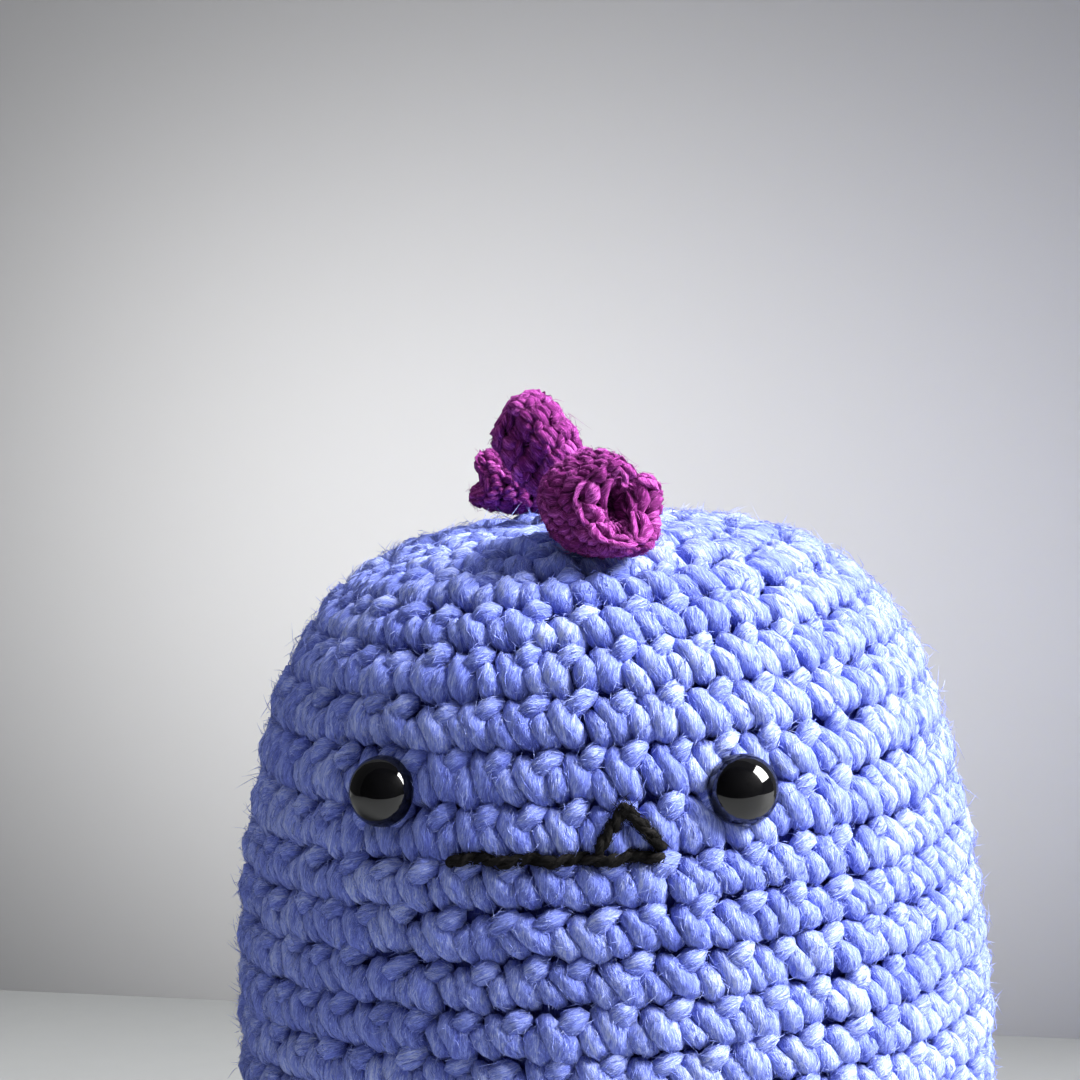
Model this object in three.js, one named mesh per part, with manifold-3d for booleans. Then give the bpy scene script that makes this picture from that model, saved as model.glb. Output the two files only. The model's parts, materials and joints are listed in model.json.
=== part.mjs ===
// A crocheted toy dinosaur: a stuffed body worked in rounds, with sewn-on arms, feet, tail and spikes.
// Millimetres, +Z up. The toy faces -Y and the origin is the middle of the base that it sits on.

import * as THREE from "three";
import { mergeVertices } from "three/addons/utils/BufferGeometryUtils.js";
import Module from "manifold-3d";

const wasm = await Module();
wasm.setup();

// Fabric and yarn
const CLEARANCE = 0.3; // gap that neighbouring pieces keep
const FABRIC_THICKNESS = 4.2; // crocheted wall
const CROWN_ROUND_HEIGHT = 6.06; // one round of stitches on the crown, along the fabric
const SIDE_ROUND_HEIGHT = 5.25; // one round below the face, pulled a little closer
const CROWN_ROUNDS = 10; // rounds from the crown down to the mouth
const ROUND_GROOVE = 1.4; // depth of the groove between two rounds
const SEWING_YARN_DIAMETER = 2.2;
const EMBROIDERY_YARN_DIAMETER = 1.4;

// Body: a rounded crown over a slow flare, then a rounded, flattened bottom
const BODY_HEIGHT = 106;
const BODY_RADIUS = 45; // at its widest
const WIDEST_BELOW_CROWN = 62;
const DOME_RADIUS = 33.3; // share of the radius that the crown's dome makes, the flare adds the rest
const DOME_DEPTH = 29;
const DOME_SHOULDER = 3.55; // exponents of the dome's outline
const DOME_TOP = 3.32;
const BOTTOM_ROUNDNESS = 3.2; // exponent of the bottom's outline, 2 would be an ellipse
const BASE_FLATTENED = 1.2; // how far the table presses the base flat

// Face
const EYE_DIAMETER = 8;
const EYE_DOME_HEIGHT = 3.4;
const EYE_RIM_THICKNESS = 0.7;
const EYE_SEAT_DEPTH = 1; // the eye is pulled this far into the fabric
const EYE_ANGLE = 29.9; // degrees to each side of the face's middle
const EYE_BELOW_CROWN = 25.85;
const EYE_UNEVEN = 0.25; // the toy's right eye sits this much higher and the left one lower
const SHANK_DIAMETER = 3.4;
const SHANK_LENGTH = 11;
const SHANK_RIB_PITCH = 1.8;
const SHANK_RIB_DEPTH = 0.3;
const SHANK_RIB_SLOPE = 0.8; // share of a rib's pitch that slopes outwards
const WASHER_DIAMETER = 12;
const WASHER_THICKNESS = 1.6;
const WASHER_COLLAR_DIAMETER = 7;
const MOUTH_HALF_ANGLE = 15.9; // degrees
const MOUTH_BELOW_CROWN = 32.3;
const MOUTH_STITCHES = 4;
const MOUTH_WAVE = 0.5; // the back stitches arch this far up and down
const TOOTH_LEFT_ANGLE = 6.8; // degrees from the face's middle
const TOOTH_PEAK_ANGLE = 10.8;
const TOOTH_HEIGHT = 5.4;
const THREAD_SUNK = 0.35; // depth of the thread's centre line below the outside of the rounds
const THREAD_END_DEPTH = 2.6; // how far a thread's ends go into the fabric

// Spikes along the middle of the back
const SPIKE_RADIUS = 6.3;
const SPIKE_LENGTH = 11; // from the middle of its sewn foot to the curled rim
const SPIKE_FOOT_RADIUS = 3.5;
const SPIKE_RIM_RADIUS = 4.6;
const SPIKE_HOLLOW = 4; // depth of the curl's open end
const SPIKE_GAP = 0.8; // between neighbouring spikes on a straight back
const FIRST_SPIKE = 10; // ahead of the crown's middle, along the fabric
const SPIKE_SIZE = [1, 0.76, 0.58, 0.8, 0.8, 0.76, 0.72]; // share of the full radii
const SPIKE_SHIFT = [-4, 0, 0, 2.4, 0, 0, 0]; // along the fabric from an even row, minus is forwards
const SPIKE_ASIDE = [0, -2.5, -5.9, -4, -2, 0, 0]; // off the middle line, towards the toy's left side
const SPIKE_LEAN = [22, -35, -73, -20, 14, -12, 10]; // degrees towards the toy's left side
const SPIKE_NOD = [-70, 0, 0, 0, 0, 0, 0]; // degrees, minus is forwards
const SPIKE_WIDEST_AT = 0.6; // share of its length at which a spike is widest

// Limbs
const TAIL_RADIUS = 18;
const TAIL_REACH = 40; // beyond the body
const TAIL_HEIGHT = 25; // middle of its root above the table
const TAIL_TIP_HEIGHT = 9;
const TAIL_TIP_RADIUS = 5;
const TAIL_ROOT_DEPTH = 11; // how far the uncut tail starts inside the body
const TAIL_DROOP = 4; // the middle of the tail below its root
const TAIL_SWELL = 1.2; // over 1 keeps the tail full near its root
const FOOT_HALF_WIDTH = 12.5;
const FOOT_HALF_HEIGHT = 9;
const FOOT_REACH = 15; // beyond the body
const FOOT_ANGLE = 27; // degrees to each side
const FOOT_FLATTENED = 1.2;
const FOOT_ROOT_DEPTH = 8; // how far the uncut foot starts inside the body
const FOOT_ROOT_SHARE = 0.86; // size of its root against its toes
const FOOT_ROUND_FROM = 0.45; // share of its length after which the toes round off
const FOOT_SEAM = [5, 175]; // degrees round the foot, over the instep
const TAIL_SEAM = [-82, 262]; // degrees round the tail, almost closed
const ARM_HALF_WIDTH = 6;
const ARM_HALF_THICKNESS = 5;
const ARM_LENGTH = 20;
const ARM_PINCH = 1.1; // half the thickness where its top edge is sewn flat
const ARM_SEAM_HALF_WIDTH = 4.6; // half the length of that sewn edge
const ARM_FULL_AT = 0.6; // share of its length at which the arm is full
const ARM_ANGLE = 62; // degrees to each side
const SHOULDER_HEIGHT = 40;
const ARM_TILT = 16; // degrees out from straight down

// How finely round shapes are faceted
const BODY_SEGMENTS = 24;
const LIMB_SIDES = 16;
const LIMB_RINGS = 10;
const LEAST_TIP = 0.4; // a limb's last ring is no smaller than this
const TIP_SHARE = 0.05; // and keeps this share of its full size
const SEAM_POINTS = 12;
const THREAD_STEPS = 36;
const EYE_DOME_STEPS = 5;
const SPIKE_WALL_STEPS = 6;
const SPIKE_SEGMENTS = 12;
const EYE_SEGMENTS = 16;
const YARN_SIDES = 6;
const PROFILE_POINTS = 40;
const FILL_POINTS = 18;

const BODY_YARN = { color: 0x7c83d9, roughness: 0.95, metalness: 0 };
const SPIKE_YARN = { color: 0xa02aa0, roughness: 0.95, metalness: 0 };
const BLACK_YARN = { color: 0x17171b, roughness: 0.9, metalness: 0 };
const EYE_PLASTIC = { color: 0x08080a, roughness: 0.12, metalness: 0 };
const WASHER_PLASTIC = { color: 0xe6e4dc, roughness: 0.6, metalness: 0 };
const FIBRE_FILL = { color: 0xf4f2ec, roughness: 1, metalness: 0 };

const UP = new THREE.Vector3(0, 0, 1);
const radians = THREE.MathUtils.degToRad;
const mix = (from, to, share) => from + (to - from) * share;
const smooth = (share) => THREE.MathUtils.smoothstep(share, 0, 1);
const toy = new THREE.Group();

function addMesh(parent, name, geometry, finish) {
  geometry.computeVertexNormals();
  const mesh = new THREE.Mesh(geometry, new THREE.MeshStandardMaterial(finish));
  mesh.name = name;
  parent.add(mesh);
}

// The level direction at an angle from the face's middle towards the toy's left.
function outwards(angle) {
  return new THREE.Vector3(Math.sin(radians(angle)), -Math.cos(radians(angle)), 0);
}

// Booleans: a closed geometry becomes a solid, and a solid becomes a geometry again.
function solidOf(geometry) {
  const bare = new THREE.BufferGeometry();
  bare.setAttribute("position", geometry.getAttribute("position"));
  bare.setIndex(geometry.getIndex());
  const merged = mergeVertices(bare, 1e-4);
  const mesh = new wasm.Mesh({
    numProp: 3,
    vertProperties: new Float32Array(merged.getAttribute("position").array),
    triVerts: new Uint32Array(merged.getIndex().array),
  });
  return new wasm.Manifold(mesh);
}

function geometryOf(solid) {
  const mesh = solid.getMesh();
  const geometry = new THREE.BufferGeometry();
  geometry.setAttribute("position", new THREE.BufferAttribute(mesh.vertProperties, mesh.numProp));
  geometry.setIndex(new THREE.BufferAttribute(mesh.triVerts, 1));
  return geometry;
}

// A solid of revolution about Z, from a profile of (radius, height) points that runs upwards.
function revolve(profile, segments) {
  return new THREE.LatheGeometry(profile, segments).rotateX(Math.PI / 2);
}

// A closed skin over rings of points: both ends are closed by a fan to the ring's middle.
function skin(rings) {
  const sides = rings[0].length;
  const positions = rings.flat().flatMap((p) => [p.x, p.y, p.z]);
  const indices = [];
  for (let ring = 0; ring + 1 < rings.length; ring += 1) {
    for (let side = 0; side < sides; side += 1) {
      const a = ring * sides + side;
      const b = ring * sides + ((side + 1) % sides);
      indices.push(a, b, a + sides, b, b + sides, a + sides);
    }
  }
  for (const [ring, flip] of [[0, true], [rings.length - 1, false]]) {
    const middle = positions.length / 3;
    const centre = new THREE.Vector3();
    rings[ring].forEach((p) => centre.addScaledVector(p, 1 / sides));
    positions.push(centre.x, centre.y, centre.z);
    for (let side = 0; side < sides; side += 1) {
      const a = ring * sides + side;
      const b = ring * sides + ((side + 1) % sides);
      indices.push(...(flip ? [b, a, middle] : [a, b, middle]));
    }
  }
  const geometry = new THREE.BufferGeometry();
  geometry.setAttribute("position", new THREE.Float32BufferAttribute(positions, 3));
  geometry.setIndex(indices);
  return geometry;
}

// A length of yarn: a round section carried along a curve.
function yarn(curve, diameter, steps) {
  const section = new THREE.Shape().absarc(0, 0, diameter / 2, 0, 2 * Math.PI);
  return new THREE.ExtrudeGeometry(section, {
    steps,
    curveSegments: YARN_SIDES / 2,
    extrudePath: curve,
  });
}

// The outside of the body as (radius, height), from the middle of the base, t = 0, to the crown, t = 1.
class BodyProfile extends THREE.Curve {
  constructor(inset) {
    super();
    this.inset = inset;
    this.arcLengthDivisions = 800;
  }

  outline(t) {
    const widest = BODY_HEIGHT - WIDEST_BELOW_CROWN;
    if (t < 0.5) {
      const rise = (2 * t) ** 3;
      const radius = BODY_RADIUS * (1 - (1 - rise) ** BOTTOM_ROUNDNESS) ** (1 / BOTTOM_ROUNDNESS);
      return new THREE.Vector2(radius, (widest + BASE_FLATTENED) * rise - BASE_FLATTENED);
    }
    const drop = (2 - 2 * t) ** 3 * WIDEST_BELOW_CROWN;
    const domeDrop = Math.min(drop / DOME_DEPTH, 1);
    const dome = DOME_RADIUS * (1 - (1 - domeDrop) ** DOME_SHOULDER) ** (1 / DOME_TOP);
    const flare = (BODY_RADIUS - DOME_RADIUS) * Math.sin((drop / WIDEST_BELOW_CROWN) * (Math.PI / 2));
    return new THREE.Vector2(dome + flare, BODY_HEIGHT - drop);
  }

  getPoint(t, target = new THREE.Vector2()) {
    const point = this.outline(t);
    if (this.inset !== 0 && t > 0 && t < 1) {
      const step = 1e-4;
      const along = this.outline(Math.min(t + step, 1)).sub(this.outline(Math.max(t - step, 0)));
      along.normalize();
      point.x = Math.max(point.x - along.y * this.inset, 0);
      point.y += along.x * this.inset;
    } else if (this.inset !== 0) {
      point.y += t === 0 ? this.inset : -this.inset;
    }
    return target.copy(point);
  }
}

const outside = new BodyProfile(0);
const fabricLength = outside.getLength();

// The point of the outside at a height, and the direction of the profile there.
function profileAtHeight(height) {
  let low = 0;
  let high = 1;
  for (let step = 0; step < 50; step += 1) {
    const middle = (low + high) / 2;
    if (outside.getPoint(middle).y < height) {
      low = middle;
    } else {
      high = middle;
    }
  }
  return { point: outside.getPoint(low), along: outside.getTangent(low) };
}

// A place on the outside, at an angle from the face's middle and a height.
function onBody(angle, height) {
  const { point, along } = profileAtHeight(height);
  const out = outwards(angle);
  const position = out.clone().multiplyScalar(point.x).setZ(point.y);
  const normal = out.multiplyScalar(along.y).setZ(-along.x);
  return { position, normal };
}

// A place over the crown and down the back, at a distance from the crown's middle, plus is backwards,
// and at a distance aside from the middle line.
function onSpine(distance, aside) {
  const u = 1 - Math.abs(distance) / fabricLength;
  const point = outside.getPointAt(u);
  const along = outside.getTangentAt(u);
  const turn = Math.asin(THREE.MathUtils.clamp(aside / point.x, -1, 1));
  const out = new THREE.Vector3(Math.sin(turn), Math.sign(distance) * Math.cos(turn), 0);
  const position = out.clone().multiplyScalar(point.x).setZ(point.y);
  const normal = out.multiplyScalar(along.y).setZ(-along.x);
  return { position, normal };
}

// How far a point lies outside the body.
function gapToBody(point) {
  const { point: profile, along } = profileAtHeight(point.z);
  return (Math.hypot(point.x, point.y) - profile.x) * along.y;
}

// A solid of the body's smooth outside, moved in or out by an inset.
function bodySolid(inset, points) {
  const curve = new BodyProfile(inset);
  const profile = curve.getSpacedPoints(points);
  profile[0].x = 0;
  profile.at(-1).x = 0;
  return solidOf(revolve(profile, BODY_SEGMENTS));
}

const tableSize = 4 * BODY_HEIGHT;
const table = new THREE.BoxGeometry(tableSize, tableSize, tableSize).translate(0, 0, -tableSize / 2);
const belowTable = solidOf(table);
const bodyCutter = bodySolid(-CLEARANCE, PROFILE_POINTS);

// The rounds: between two grooves each round stands out as a flat-topped ridge.
function ridgedProfile() {
  const points = [];
  const crownLength = CROWN_ROUNDS * CROWN_ROUND_HEIGHT;
  const sideRounds = Math.round((fabricLength - crownLength) / SIDE_ROUND_HEIGHT);
  const sideHeight = (fabricLength - crownLength) / sideRounds;
  const rounds = CROWN_ROUNDS + sideRounds;
  const place = (round) => (round < CROWN_ROUNDS
    ? round * CROWN_ROUND_HEIGHT
    : crownLength + (round - CROWN_ROUNDS) * sideHeight);
  for (let step = 3 * rounds - 1; step > 0; step -= 1) {
    const u = 1 - place(step / 3) / fabricLength;
    const point = outside.getPointAt(u);
    if (step % 3 === 0) {
      const along = outside.getTangentAt(u);
      point.x -= along.y * ROUND_GROOVE;
      point.y += along.x * ROUND_GROOVE;
    }
    points.push(point);
  }
  const standing = points.filter((point) => point.y > 0);
  const first = points.length - standing.length;
  const below = points[first - 1];
  const share = below.y / (below.y - standing[0].y);
  const edge = new THREE.Vector2(below.x + (standing[0].x - below.x) * share, 0);
  return [new THREE.Vector2(0, 0), edge, ...standing, new THREE.Vector2(0, BODY_HEIGHT)];
}

// Turns a group so that its Z axis is a direction.
function faceAlong(group, position, direction) {
  group.position.copy(position);
  group.quaternion.setFromUnitVectors(UP, direction);
  group.updateMatrixWorld(true);
  return group;
}

// Eyes: a domed head with a ribbed shank, and the washer that locks it behind the fabric.
const shankRadius = SHANK_DIAMETER / 2;
const eyeBack = -EYE_SEAT_DEPTH;
const eyeHeight = BODY_HEIGHT - EYE_BELOW_CROWN;
const wallInside = profileAtHeight(eyeHeight).point.x - FABRIC_THICKNESS;
const wallFacet = wallInside * (1 - Math.cos(Math.PI / BODY_SEGMENTS));
const washerDish = wallInside - Math.sqrt(wallInside ** 2 - (WASHER_DIAMETER / 2) ** 2);
const washerFront = -FABRIC_THICKNESS - washerDish - wallFacet - CLEARANCE;

function eyeGeometry() {
  const radius = EYE_DIAMETER / 2;
  const profile = [new THREE.Vector2(0, eyeBack - SHANK_LENGTH)];
  const ribs = Math.floor(SHANK_LENGTH / SHANK_RIB_PITCH) - 1;
  for (let rib = 0; rib < ribs; rib += 1) {
    const low = eyeBack - SHANK_LENGTH + rib * SHANK_RIB_PITCH;
    profile.push(new THREE.Vector2(shankRadius - SHANK_RIB_DEPTH, low));
    profile.push(new THREE.Vector2(shankRadius, low + SHANK_RIB_PITCH * SHANK_RIB_SLOPE));
  }
  profile.push(new THREE.Vector2(shankRadius - SHANK_RIB_DEPTH, eyeBack));
  profile.push(new THREE.Vector2(radius, eyeBack));
  profile.push(new THREE.Vector2(radius, eyeBack + EYE_RIM_THICKNESS));
  for (let step = 1; step < EYE_DOME_STEPS; step += 1) {
    const angle = (step / EYE_DOME_STEPS) * (Math.PI / 2);
    const height = eyeBack + EYE_RIM_THICKNESS + EYE_DOME_HEIGHT * Math.sin(angle);
    profile.push(new THREE.Vector2(radius * Math.cos(angle), height));
  }
  profile.push(new THREE.Vector2(0, eyeBack + EYE_RIM_THICKNESS + EYE_DOME_HEIGHT));
  return revolve(profile, EYE_SEGMENTS);
}

function washerGeometry() {
  const bore = shankRadius + CLEARANCE;
  const back = washerFront - WASHER_THICKNESS;
  const collar = WASHER_COLLAR_DIAMETER / 2;
  const rim = WASHER_DIAMETER / 2;
  const rimBack = washerFront - WASHER_THICKNESS / 2;
  const profile = [[bore, back], [collar, back], [collar, rimBack], [rim, rimBack], [rim, washerFront],
    [bore, washerFront], [bore, back]];
  return revolve(profile.map(([r, z]) => new THREE.Vector2(r, z)), EYE_SEGMENTS);
}

// A plain round bar on Z between two heights.
function bar(radius, low, high) {
  const profile = [[0, low], [radius, low], [radius, high], [0, high]];
  return revolve(profile.map(([r, z]) => new THREE.Vector2(r, z)), EYE_SEGMENTS);
}

const eyeSeats = [];
const washerPockets = [];
for (const [side, sign] of [["left", 1], ["right", -1]]) {
  const { position, normal } = onBody(sign * EYE_ANGLE, eyeHeight - sign * EYE_UNEVEN);
  const group = faceAlong(new THREE.Group(), position, normal);
  toy.add(group);
  addMesh(group, `${side}_eye`, eyeGeometry(), EYE_PLASTIC);
  addMesh(group, `${side}_eye_washer`, washerGeometry(), WASHER_PLASTIC);
  const place = (geometry) => solidOf(geometry.applyMatrix4(group.matrixWorld));
  const seatRadius = EYE_DIAMETER / 2 + CLEARANCE;
  const outsideEye = EYE_DOME_HEIGHT + EYE_SEAT_DEPTH;
  eyeSeats.push(place(bar(seatRadius, eyeBack - CLEARANCE, outsideEye)));
  eyeSeats.push(place(bar(shankRadius + CLEARANCE, -2 * FABRIC_THICKNESS, 0)));
  washerPockets.push(place(bar(WASHER_DIAMETER / 2 + CLEARANCE,
    washerFront - WASHER_THICKNESS - CLEARANCE, 0)));
  washerPockets.push(place(bar(shankRadius + CLEARANCE, eyeBack - SHANK_LENGTH - CLEARANCE, 0)));
}

// Embroidery: a thread over the face, whose two ends go down into the fabric.
function faceThread(stations) {
  const points = stations.map(({ angle, height, depth }) => {
    const { position, normal } = onBody(angle, height);
    return position.addScaledVector(normal, -depth);
  });
  return new THREE.CatmullRomCurve3(points);
}

const mouthHeight = BODY_HEIGHT - MOUTH_BELOW_CROWN;

function mouthCurve() {
  const stations = [];
  const steps = 4 * MOUTH_STITCHES;
  for (let step = 0; step <= steps; step += 1) {
    const angle = MOUTH_HALF_ANGLE * ((2 * step) / steps - 1);
    const wave = Math.cos((step / 4) * 2 * Math.PI);
    stations.push({ angle, height: mouthHeight - MOUTH_WAVE * wave, depth: THREAD_SUNK });
  }
  const ends = [stations[0], stations[steps]].map((end) => ({ ...end, depth: THREAD_END_DEPTH }));
  return faceThread([ends[0], ...stations, ends[1]]);
}

function toothCurve() {
  const foot = mouthHeight + EMBROIDERY_YARN_DIAMETER + MOUTH_WAVE + 2 * CLEARANCE;
  const peak = mouthHeight + TOOTH_HEIGHT;
  const right = MOUTH_HALF_ANGLE;
  const legShares = [0, 0.3, 0.6, 0.85];
  const leg = (angle) => legShares.map((share) => ({
    angle: mix(angle, TOOTH_PEAK_ANGLE, share),
    height: mix(foot, peak, share),
    depth: THREAD_SUNK,
  }));
  const top = { angle: TOOTH_PEAK_ANGLE, height: peak, depth: THREAD_SUNK };
  const ends = [TOOTH_LEFT_ANGLE, right].map((angle) => ({ angle, height: foot, depth: THREAD_END_DEPTH }));
  return faceThread([ends[0], ...leg(TOOTH_LEFT_ANGLE), top, ...leg(right).reverse(), ends[1]]);
}

const threadChannels = [];
for (const [name, curve] of [["mouth_thread", mouthCurve()], ["tooth_thread", toothCurve()]]) {
  addMesh(toy, name, yarn(curve, EMBROIDERY_YARN_DIAMETER, THREAD_STEPS), BLACK_YARN);
  threadChannels.push(solidOf(yarn(curve, EMBROIDERY_YARN_DIAMETER + 2 * CLEARANCE, THREAD_STEPS)));
}

// Body cover and its fill. The eye holes open the hollow.
let cover = solidOf(revolve(ridgedProfile(), BODY_SEGMENTS));
cover = cover.subtract(bodySolid(FABRIC_THICKNESS, FILL_POINTS));
for (const cut of [...eyeSeats, ...threadChannels]) {
  cover = cover.subtract(cut);
}
addMesh(toy, "body_cover", geometryOf(cover), BODY_YARN);

let fill = bodySolid(FABRIC_THICKNESS + CLEARANCE, FILL_POINTS);
for (const pocket of washerPockets) {
  fill = fill.subtract(pocket);
}
addMesh(toy, "body_stuffing", geometryOf(fill), FIBRE_FILL);

// A limb: a middle line, the directions across and upright to it, and its half sizes that way, each a
// function of t from its root, 0, to its tip, 1.
function limbPoint(limb, t, angle, grow) {
  const along = limb.curve.getTangent(t);
  const right = limb.across ?? new THREE.Vector3().crossVectors(UP, along).normalize();
  const up = new THREE.Vector3().crossVectors(along, right);
  return limb.curve.getPoint(t)
    .addScaledVector(right, (limb.halfWidth(t) + grow) * Math.cos(angle))
    .addScaledVector(up, (limb.halfHeight(t) + grow) * Math.sin(angle));
}

// The limb's solid, taken in by an inset: it ends where nothing is left inside the inset.
function limbSolid(limb, inset) {
  const rings = [];
  const least = inset + LEAST_TIP;
  for (let step = 0; step <= LIMB_RINGS; step += 1) {
    const t = Math.sin((step / LIMB_RINGS) * (Math.PI / 2));
    if (Math.min(limb.halfWidth(t), limb.halfHeight(t)) >= least) {
      rings.push(Array.from({ length: LIMB_SIDES }, (_, side) => (
        limbPoint(limb, t, (side / LIMB_SIDES) * 2 * Math.PI, -inset)
      )));
    }
  }
  return solidOf(skin(rings));
}

// Closes a limb's tip: full size up to a start, then a round end.
function roundedEnd(t, start) {
  const past = Math.max((t - start) / (1 - start), 0);
  return Math.sqrt(Math.max(1 - past ** 2, 0)) + TIP_SHARE;
}

// Sewing yarn laid in the corner between a limb and the body, between two angles round the limb.
function seamCurve(limb, [from, to]) {
  const reach = SEWING_YARN_DIAMETER / 2 + CLEARANCE;
  const points = [];
  for (let step = 0; step <= SEAM_POINTS; step += 1) {
    const angle = radians(mix(from, to, step / SEAM_POINTS));
    let low = 0;
    let high = 1;
    for (let halving = 0; halving < 40; halving += 1) {
      const middle = (low + high) / 2;
      if (gapToBody(limbPoint(limb, middle, angle, reach)) < reach) {
        low = middle;
      } else {
        high = middle;
      }
    }
    points.push(limbPoint(limb, low, angle, reach));
  }
  return new THREE.CatmullRomCurve3(points);
}

// A stuffed limb: a cover that is open towards the body, its fill, and the yarn that sews it on.
function addStuffedLimb(name, limb, seamAngles) {
  const limbCover = limbSolid(limb, 0)
    .subtract(limbSolid(limb, FABRIC_THICKNESS))
    .subtract(bodyCutter)
    .subtract(belowTable);
  addMesh(toy, `${name}_cover`, geometryOf(limbCover), BODY_YARN);
  const limbFill = limbSolid(limb, FABRIC_THICKNESS + CLEARANCE).subtract(bodyCutter);
  addMesh(toy, `${name}_stuffing`, geometryOf(limbFill), FIBRE_FILL);
  const seam = yarn(seamCurve(limb, seamAngles), SEWING_YARN_DIAMETER, 2 * SEAM_POINTS);
  addMesh(toy, `${name}_seam`, seam, BODY_YARN);
}

const bodyRadiusAt = (height) => profileAtHeight(height).point.x;

// Feet: they swell towards the toes and are pressed flat on the table.
function footLimb(angle) {
  const out = outwards(angle);
  const height = FOOT_HALF_HEIGHT - FOOT_FLATTENED;
  const wall = bodyRadiusAt(height);
  const root = out.clone().multiplyScalar(wall - FOOT_ROOT_DEPTH).setZ(height);
  const toe = out.clone().multiplyScalar(wall + FOOT_REACH).setZ(height);
  const swell = (t) => mix(FOOT_ROOT_SHARE, 1, smooth(2 * t)) * roundedEnd(t, FOOT_ROUND_FROM);
  return {
    curve: new THREE.LineCurve3(root, toe),
    halfWidth: (t) => FOOT_HALF_WIDTH * swell(t),
    halfHeight: (t) => FOOT_HALF_HEIGHT * swell(t),
  };
}

addStuffedLimb("left_foot", footLimb(FOOT_ANGLE), FOOT_SEAM);
addStuffedLimb("right_foot", footLimb(-FOOT_ANGLE), FOOT_SEAM);

// Tail: it tapers from its root and droops to a blunt tip.
function tailLimb() {
  const wall = bodyRadiusAt(TAIL_HEIGHT);
  const root = new THREE.Vector3(0, wall - TAIL_ROOT_DEPTH, TAIL_HEIGHT);
  const bend = new THREE.Vector3(0, wall + TAIL_REACH / 2, TAIL_HEIGHT - TAIL_DROOP);
  const tip = new THREE.Vector3(0, wall + TAIL_REACH, TAIL_TIP_HEIGHT);
  const curve = new THREE.QuadraticBezierCurve3(root, bend, tip);
  const roundStart = 1 - TAIL_TIP_RADIUS / curve.getLength();
  const radius = (t) => mix(TAIL_RADIUS, TAIL_TIP_RADIUS, t ** TAIL_SWELL) * roundedEnd(t, roundStart);
  return { curve, halfWidth: radius, halfHeight: radius };
}

addStuffedLimb("tail", tailLimb(), TAIL_SEAM);

// Arms: the top edge is pinched flat and sewn to the body, which lets the arm swing up and down.
function addArm(side, sign) {
  const { position, normal } = onBody(sign * ARM_ANGLE, SHOULDER_HEIGHT);
  const seamReach = SEWING_YARN_DIAMETER / 2 + CLEARANCE;
  const hinge = position.addScaledVector(normal, seamReach);
  const out = normal.clone().setZ(0).normalize();
  const across = new THREE.Vector3().crossVectors(out, UP);
  const tilt = radians(ARM_TILT);
  const down = out.clone().multiplyScalar(Math.sin(tilt)).addScaledVector(UP, -Math.cos(tilt));
  const top = hinge.clone().addScaledVector(down, seamReach);
  const hand = hinge.clone().addScaledVector(down, ARM_LENGTH);
  const roundStart = 1 - ARM_HALF_WIDTH / ARM_LENGTH;
  const swell = (t) => smooth(t / ARM_FULL_AT);
  const limb = {
    curve: new THREE.LineCurve3(top, hand),
    across,
    halfWidth: (t) => mix(ARM_SEAM_HALF_WIDTH, ARM_HALF_WIDTH, swell(t)) * roundedEnd(t, roundStart),
    halfHeight: (t) => mix(ARM_PINCH, ARM_HALF_THICKNESS, swell(t)) * roundedEnd(t, roundStart),
  };
  addMesh(toy, `${side}_arm`, geometryOf(limbSolid(limb, 0)), BODY_YARN);
  const seamEnds = [-1, 1].map((end) => hinge.clone().addScaledVector(across, end * ARM_SEAM_HALF_WIDTH));
  const seam = yarn(new THREE.LineCurve3(...seamEnds), SEWING_YARN_DIAMETER, 1);
  addMesh(toy, `${side}_shoulder_seam`, seam, BODY_YARN);
}

addArm("left", 1);
addArm("right", -1);

// Spikes: a tab curled into a cup, on a round foot that lets it flop to either side.
function spikeGeometry(size) {
  const footRadius = SPIKE_FOOT_RADIUS * size;
  const rimRadius = SPIKE_RIM_RADIUS * size;
  const slant = footRadius * Math.SQRT1_2;
  const foot = [new THREE.Vector2(0, -footRadius), new THREE.Vector2(slant, -slant)];
  const wall = new THREE.SplineCurve([
    new THREE.Vector2(footRadius, 0),
    new THREE.Vector2(SPIKE_RADIUS * size, SPIKE_LENGTH * SPIKE_WIDEST_AT),
    new THREE.Vector2(rimRadius, SPIKE_LENGTH),
  ]);
  const hollow = [
    new THREE.Vector2(rimRadius / 2, SPIKE_LENGTH - SPIKE_HOLLOW / 2),
    new THREE.Vector2(0, SPIKE_LENGTH - SPIKE_HOLLOW),
  ];
  return revolve([...foot, ...wall.getPoints(SPIKE_WALL_STEPS), ...hollow], SPIKE_SEGMENTS);
}

const spikePitch = 2 * SPIKE_RADIUS + SPIKE_GAP;
const tailTop = TAIL_HEIGHT + TAIL_RADIUS + SEWING_YARN_DIAMETER;
for (let spike = 0; spike < SPIKE_SIZE.length; spike += 1) {
  const along = spike * spikePitch - FIRST_SPIKE + SPIKE_SHIFT[spike];
  const { position, normal } = onSpine(along, SPIKE_ASIDE[spike]);
  if (position.z < tailTop + SPIKE_RADIUS) {
    break;
  }
  const lean = radians(SPIKE_LEAN[spike]);
  const nod = radians(SPIKE_NOD[spike]);
  const backwards = new THREE.Vector3(0, normal.z, -normal.y).normalize();
  const aside = new THREE.Vector3().crossVectors(backwards, normal);
  const direction = normal.clone().multiplyScalar(Math.cos(nod)).addScaledVector(backwards, Math.sin(nod));
  direction.multiplyScalar(Math.cos(lean)).addScaledVector(aside, Math.sin(lean)).normalize();
  const hinge = position.addScaledVector(normal, SPIKE_FOOT_RADIUS * SPIKE_SIZE[spike] + CLEARANCE);
  const group = faceAlong(new THREE.Group(), hinge, direction);
  toy.add(group);
  addMesh(group, `spike_${spike + 1}`, spikeGeometry(SPIKE_SIZE[spike]), SPIKE_YARN);
}

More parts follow.
